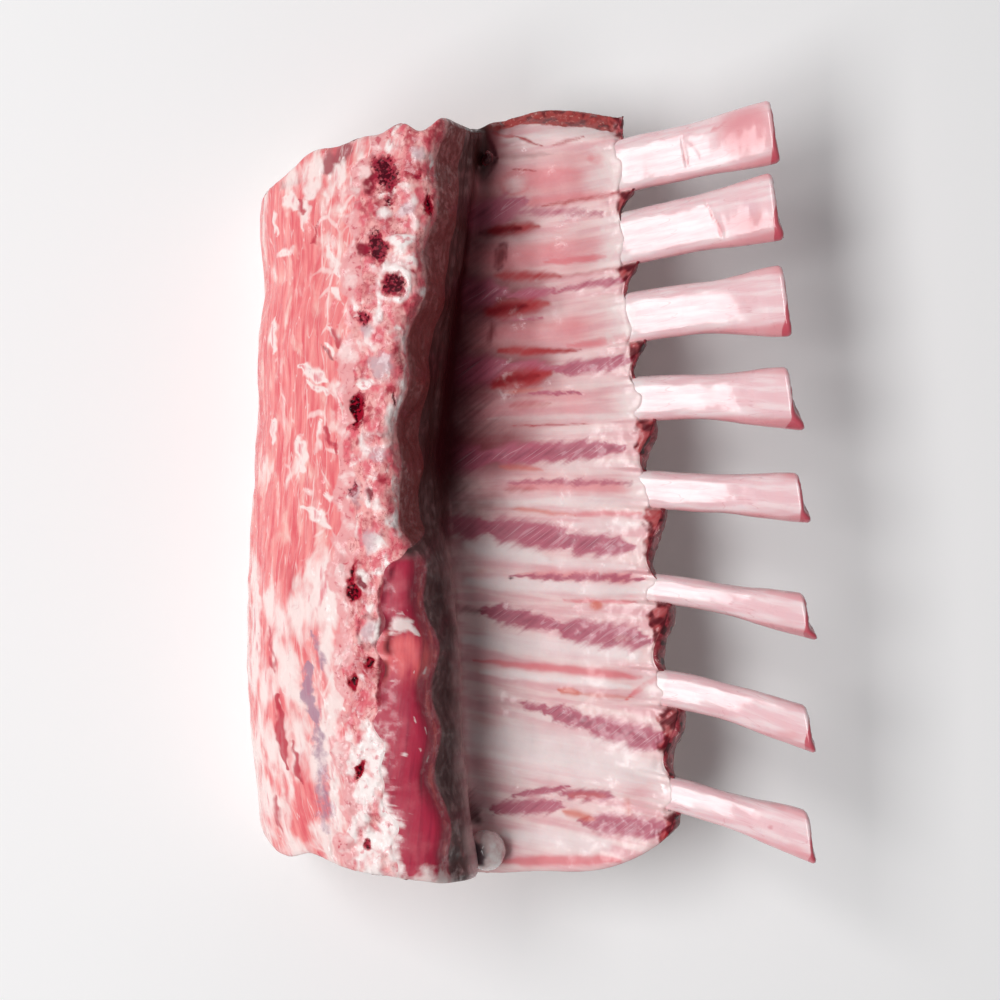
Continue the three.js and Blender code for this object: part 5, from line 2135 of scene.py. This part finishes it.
@dataclass
class RibBone:
    """One rib: set in the chest wall, then scraped bare out to its flared, sawn end."""

    number: int
    form: RackForm
    noise: Noise
    sides: int = 80
    hidden_rings: int = 14
    bare_rings: int = 120
    sawn_rings: int = 9
    depth: float = 4.9  # from the lining down to the bone's middle
    thickness: float = 7.0
    sawn_edge: float = 0.55  # how far the saw cut's edge is worn
    marks: tuple[Stroke | Spot, ...] = ()
    grooves: tuple[Groove, ...] = ()
    is_bloody: bool = False  # whether marrow blood covers the sawn end

    def __post_init__(self) -> None:
        """Picks the rib's sizes."""
        self.rib = RIBS[self.number - 1]
        self.line = self.form.rib_lines[self.number - 1]
        self.rim_x = float(self.form.edge_x(self.rib.edge[1]) + self.form.scallop)
        self.flare_start = self.rib.end[0] - self.form.flare_length

    def top_z(self, x: np.ndarray, share: np.ndarray) -> np.ndarray:
        """Height of the bone's upper side.

        Args:
            x: places along the rib.
            share: how far across it, from 0 at its middle line to 1 at its side.

        Returns:
            The heights.
        """
        form = self.form
        steep = 1 / np.sqrt(1 - ((x - form.chest_low_x) / form.chest_radius) ** 2)
        rise = (1 - share ** (2 / form.bone_squareness)) ** (form.bone_squareness / 2)
        return form.chest_z(x) + (rise * self.thickness / 2 - self.depth) * steep

    def surface(self, x: np.ndarray, angle: np.ndarray, lift: float | np.ndarray = 0.0) -> np.ndarray:
        """Points of the bone's surface.

        Args:
            x: places along the rib.
            angle: directions round it, 0 to the shoulder side and a quarter turn up.
            lift: how far above the surface, in millimetres.

        Returns:
            The points.
        """
        form, rib = self.form, self.rib
        flare = smoothstep(x, self.flare_start, rib.end[0])
        bumps = np.stack([x, 9 * np.cos(angle), 9 * np.sin(angle)], -1) + 31.0 * self.number
        lift = lift + 0.2 * self.noise(bumps, 11, 2) + 0.025 * self.noise(bumps, (2.0, 1.2, 1.2), 2)
        half_width = lerp(rib.width, rib.end_width, flare) / 2 + lift
        half_depth = self.thickness / 2 + lift
        steep = 1 / np.sqrt(1 - ((x - form.chest_low_x) / form.chest_radius) ** 2)
        side, up = np.cos(angle), np.sin(angle)
        across = half_width * np.sign(side) * np.abs(side) ** form.bone_squareness
        rise = half_depth * np.sign(up) * np.abs(up) ** form.bone_squareness
        y = self.line(x) + across
        top = smoothstep(up, 0.0, 0.5)
        for groove in self.grooves:
            furrow = Stroke(Mask.BONE, groove.start, groove.end, groove.half, groove.half)
            rise = rise - groove.depth * top * furrow.value(x, y)
        z = form.chest_z(x) - self.depth * steep + rise * steep
        hook = rib.hook * smoothstep(-across / half_width, 0.35, 1.0) ** 2 * smoothstep(flare, 0.3, 1)
        return np.stack([x - across * form.end_slant * flare + hook, y, z], -1)

    def build(self) -> Piece:
        """Gathers the piece: the shaft, then the sawn end in rings towards its middle.

        Returns:
            The piece.
        """
        end = self.rib.end[0]
        start = self.rim_x - 7
        hidden = np.linspace(self.form.bone_start_x, start, self.hidden_rings, endpoint=False)
        stations = np.concatenate([hidden, np.linspace(start, end, self.bare_rings)])
        angle = -2 * np.pi * np.arange(self.sides) / self.sides
        x, around = np.broadcast_arrays(stations[:, None], angle[None, :])
        near_end = smoothstep(x, end - 1.2, end)
        shaft = self.surface(x, around, -self.sawn_edge * near_end**3)
        share = np.linspace(1, 0, self.sawn_rings + 1)[1:, None, None]
        middle = shaft[-1].mean(0)
        sawn = lerp(middle, shaft[-1], share)
        face = 0.28 * self.noise(sawn, (30, 2.2, 2.2), 3) - 0.5 * (1 - share[..., 0]) ** 2
        inward = 1 - share[..., 0]
        sawn[..., 0] += face * smoothstep(inward, 0, 0.2) + 0.2 * smoothstep(inward, 0, 0.1)
        head = lerp(shaft[0].mean(0), shaft[0], np.array([0.0, 0.6])[:, None, None])
        points = np.concatenate([head, shaft, sawn])
        canvas = self.paint(points, len(head) + len(shaft))
        offset = points[..., 1] - self.line(points[..., 0])
        run = np.stack([offset, points[..., 0], points[..., 2] - self.form.chest_z(points[..., 0])], -1)
        piece = Piece(f"rib_bone_{self.number}")
        piece.add_grid(piece.add_points(points, {**canvas.masks, "run": run, "grain": run}), True)
        return piece

    def paint(self, points: np.ndarray, face_from: int) -> Canvas:
        """Paints the bone.

        Args:
            points: all its points, rings first.
            face_from: the number of the sawn face's first ring.

        Returns:
            The masks.
        """
        canvas = Canvas(points, self.noise, 0.6)
        x, y, z = np.moveaxis(points, -1, 0)
        end = self.rib.end[0]
        across = (y - self.line(x)) / (self.rib.width / 2)
        patches = self.noise(points, 7, 2)
        low = smoothstep(-across, 0.6, 1.05) + 0.7 * smoothstep(across, 0.8, 1.1)
        tip = smoothstep(x, end - 6, end)
        canvas.add(Mask.ROSY, np.clip(0.9 * low + 0.2 * tip + 0.15 * patches, 0, 1))
        near = 1 - smoothstep(x - self.rim_x, -3, 4)
        canvas.add(Mask.MILK, 0.7 * near * smoothstep(patches, -0.6, 0.2))
        canvas.add(Mask.CRIMSON, 0.9 * smoothstep(x + 0.8 * patches, end - 1.1, end - 0.3))
        canvas.paint(self.marks, smoothstep(z, 8, 14))
        face = np.zeros(x.shape)
        face[face_from:] = smoothstep(np.arange(self.sawn_rings) / self.sawn_rings, 0.0, 0.3)[:, None]
        canvas.add(Mask.MARROW, 1.3 * face)
        if self.is_bloody:
            canvas.add(Mask.BLOOD, 1.1 * face)
        return canvas

    def dress(self, piece: Piece, finish: bpy.types.Material) -> bpy.types.Object:
        """Makes the mesh with the bones' finish."""
        return piece.mesh([finish], "rib_bone", (f"rib_{self.number}",))


# ---- Small lumps ----


@dataclass
class Lump:
    """A rounded bit of cartilage, fat or clotted meat that is half sunk in the rack."""

    name: str
    middle: tuple[float, float, float]
    half: tuple[float, float, float]
    finish: Finish
    marks: tuple[Stroke | Spot, ...] = ()
    turn: float = 0.0  # degrees about Z
    rough: float = 0.12  # how uneven it is, as a share of its size
    sides: int = 48

    def build(self, noise: Noise) -> Piece:
        """Gathers the piece.

        Args:
            noise: what makes it uneven.

        Returns:
            The piece.
        """
        around = 2 * np.pi * np.arange(self.sides) / self.sides
        up = np.linspace(-np.pi / 2, np.pi / 2, self.sides // 2 + 1)[:, None]
        level = np.cos(up)
        ball = np.stack([level * np.cos(around), level * np.sin(around), np.sin(up) + 0 * around], -1)
        ball = ball * (1 + self.rough * noise(ball + self.middle, 0.8, 2))[..., None] * np.array(self.half)
        turn = math.radians(self.turn)
        x, y, z = np.moveaxis(ball, -1, 0)
        x, y = x * math.cos(turn) - y * math.sin(turn), x * math.sin(turn) + y * math.cos(turn)
        points = np.stack([x, y, z], -1) + self.middle
        canvas = Canvas(points, noise, 0.4)
        canvas.paint(self.marks)
        piece = Piece(self.name)
        numbers = piece.add_points(points, {**canvas.masks, "grain": points, "run": points})
        piece.add_grid(numbers[::-1], True)
        return piece

    def dress(self, piece: Piece) -> bpy.types.Object:
        """Makes the mesh with its finish."""
        return piece.mesh([self.finish.material()], "meat")


# ---- The studio ----


@dataclass
class Studio:
    """A pale floor, a broad soft light from the backbone's side, a dim fill and the camera above."""

    key_height: float = 57  # degrees above the floor
    key_distance: float = 2.0  # metres
    key_size: tuple[float, float] = (0.76, 2.6)  # metres
    key_power: float = 43.5
    fill: float = 0.14
    camera_place: tuple[float, float, float] = (-0.0070, -0.0028, 0.70)
    camera_angle: float = 23.2  # degrees from side to side

    def build(self) -> None:
        """Puts up the floor, the lights and the camera."""
        self.lay_floor()
        height = math.radians(self.key_height)
        place = (-self.key_distance * math.cos(height), 0, self.key_distance * math.sin(height))
        self.hang("key", self.key_size, self.key_power, place, height - math.pi / 2)
        world = bpy.data.worlds.new("soft_fill")
        world.use_nodes = True
        world.node_tree.nodes["Background"].inputs["Color"].default_value = linear("#f4f6fa")
        world.node_tree.nodes["Background"].inputs["Strength"].default_value = self.fill
        bpy.context.scene.world = world
        camera = bpy.data.objects.new("camera", bpy.data.cameras.new("camera"))
        camera.data.angle = math.radians(self.camera_angle)
        camera.location = self.camera_place
        bpy.context.scene.collection.objects.link(camera)
        bpy.context.scene.camera = camera
        bpy.context.scene.view_settings.view_transform = "Standard"

    def lay_floor(self) -> None:
        """Lays the pale floor."""
        mesh = bpy.data.meshes.new("pale_floor")
        mesh.from_pydata([(-3, -3, 0), (3, -3, 0), (3, 3, 0), (-3, 3, 0)], [], [(0, 1, 2, 3)])
        floor = bpy.data.objects.new("pale_floor", mesh)
        made = bpy.data.materials.new("matt_studio_paper")
        made.use_nodes = True
        shader = made.node_tree.nodes["Principled BSDF"]
        shader.inputs["Base Color"].default_value = linear("#fbfafa")
        shader.inputs["Roughness"].default_value = 0.9
        mesh.materials.append(made)
        bpy.context.scene.collection.objects.link(floor)

    @staticmethod
    def hang(
        name: str, size: tuple[float, float], power: float, place: tuple[float, float, float], tilt: float
    ) -> None:
        """Hangs a flat soft light.

        Args:
            name: the light's name.
            size: its width across the rack and along it, in metres.
            power: its power in watts.
            place: where it hangs, in metres.
            tilt: how far it is turned about Y from facing straight down, in radians.
        """
        lamp = bpy.data.lights.new(name, "AREA")
        lamp.shape = "RECTANGLE"
        lamp.size, lamp.size_y = size
        lamp.energy = power
        light = bpy.data.objects.new(name, lamp)
        light.location = place
        light.rotation_euler = (0, tilt, 0)
        bpy.context.scene.collection.objects.link(light)


# ---- The rack ----

BONE_DETAIL: dict[int, dict[str, object]] = {
    1: {
        "grooves": (Groove((41, 97.6), (42.4, 89.4), 0.5, 0.16), Groove((42, 96), (45.4, 91.6), 0.45, 0.14)),
        "marks": (
            Stroke(Mask.ROSY, (41.2, 96.5), (42.6, 89.6), 0.4, 0.5, 0.9),
            Stroke(Mask.ROSY, (48.5, 98.4), (53.5, 101.5), 0.6, 0.5, 0.9),
            Spot(Mask.ROSY, (58, 98), 8, 7, 1.1),
        ),
    },
    2: {
        "grooves": (
            Groove((47.2, 80.2), (49.2, 75.8), 0.5, 0.16),
            Groove((49.2, 75.8), (51.6, 70), 0.5, 0.2),
        ),
        "marks": (
            Stroke(Mask.ROSY, (47.4, 79.6), (51.8, 69.8), 0.3, 0.5, 1.1),
            Spot(Mask.BRUISE, (58.5, 77.5), 4, 3.5, 0.6),
            Spot(Mask.ROSY, (59, 73), 7, 4, 0.85),
        ),
    },
    3: {
        "is_bloody": True,
        "marks": (Spot(Mask.ROSY, (60, 46), 6, 2, 0.5), Spot(Mask.BRUISE, (64, 51), 3, 3, 0.4)),
    },
    4: {"marks": (Spot(Mask.ROSY, (66, 20), 4, 2.5, 0.4),)},
    5: {"marks": (Spot(Mask.ROSY, (69, -5), 4, 2, 0.4),)},
    6: {"marks": (Spot(Mask.ROSY, (69, -35), 5, 2, 0.5),)},
    7: {"marks": (Spot(Mask.ROSY, (69, -65), 5, 2, 0.7), Spot(Mask.ROSY, (50, -60), 8, 2, 0.5))},
    8: {"marks": (Spot(Mask.ROSY, (70, -96), 4, 2.5, 0.7), Spot(Mask.CRIMSON, (64, -90), 1.2, 1, 0.6))},
}

LUMPS = (
    Lump(
        "loin_knob", (-12.6, -98.8, 25.0), (5.4, 5.6, 5.4), CARTILAGE,
        # Painted shade on the knob's side towards the backbone and the loin end.
        (Stroke(Mask.BRUISE, (-16.4, -97), (-14.4, -101.6), 2.8, 2.4, 1.1),),
        0, 0.05,
    ),
    Lump(
        "shoulder_nodule", (-12.3, 93.0, 24.9), (1.5, 2.0, 1.4), CUT_MEAT,
        (Spot(Mask.MAROON, (-12.6, 92.6), 1.6, 1.9, 0.9),), -20, 0.3,
    ),
)


def main() -> None:
    """Builds the rack and the studio, in order, and reports each piece."""
    logging.basicConfig(level=logging.INFO, format="%(message)s")
    form, noise = RackForm(), Noise(7)
    flesh = Flesh(form, noise)
    meat = Meat(flesh)
    meat.dress(meat.build())
    backbone = SawnBackbone(flesh)
    backbone.dress(backbone.build())
    scraped_bone = BARE_BONE.material()
    for number in range(1, len(RIBS) + 1):
        bone = RibBone(number, form, noise, **BONE_DETAIL[number])
        bone.dress(bone.build(), scraped_bone)
    for lump in LUMPS:
        lump.dress(lump.build(noise))
    Studio().build()


if __name__ == "__main__":
    main()
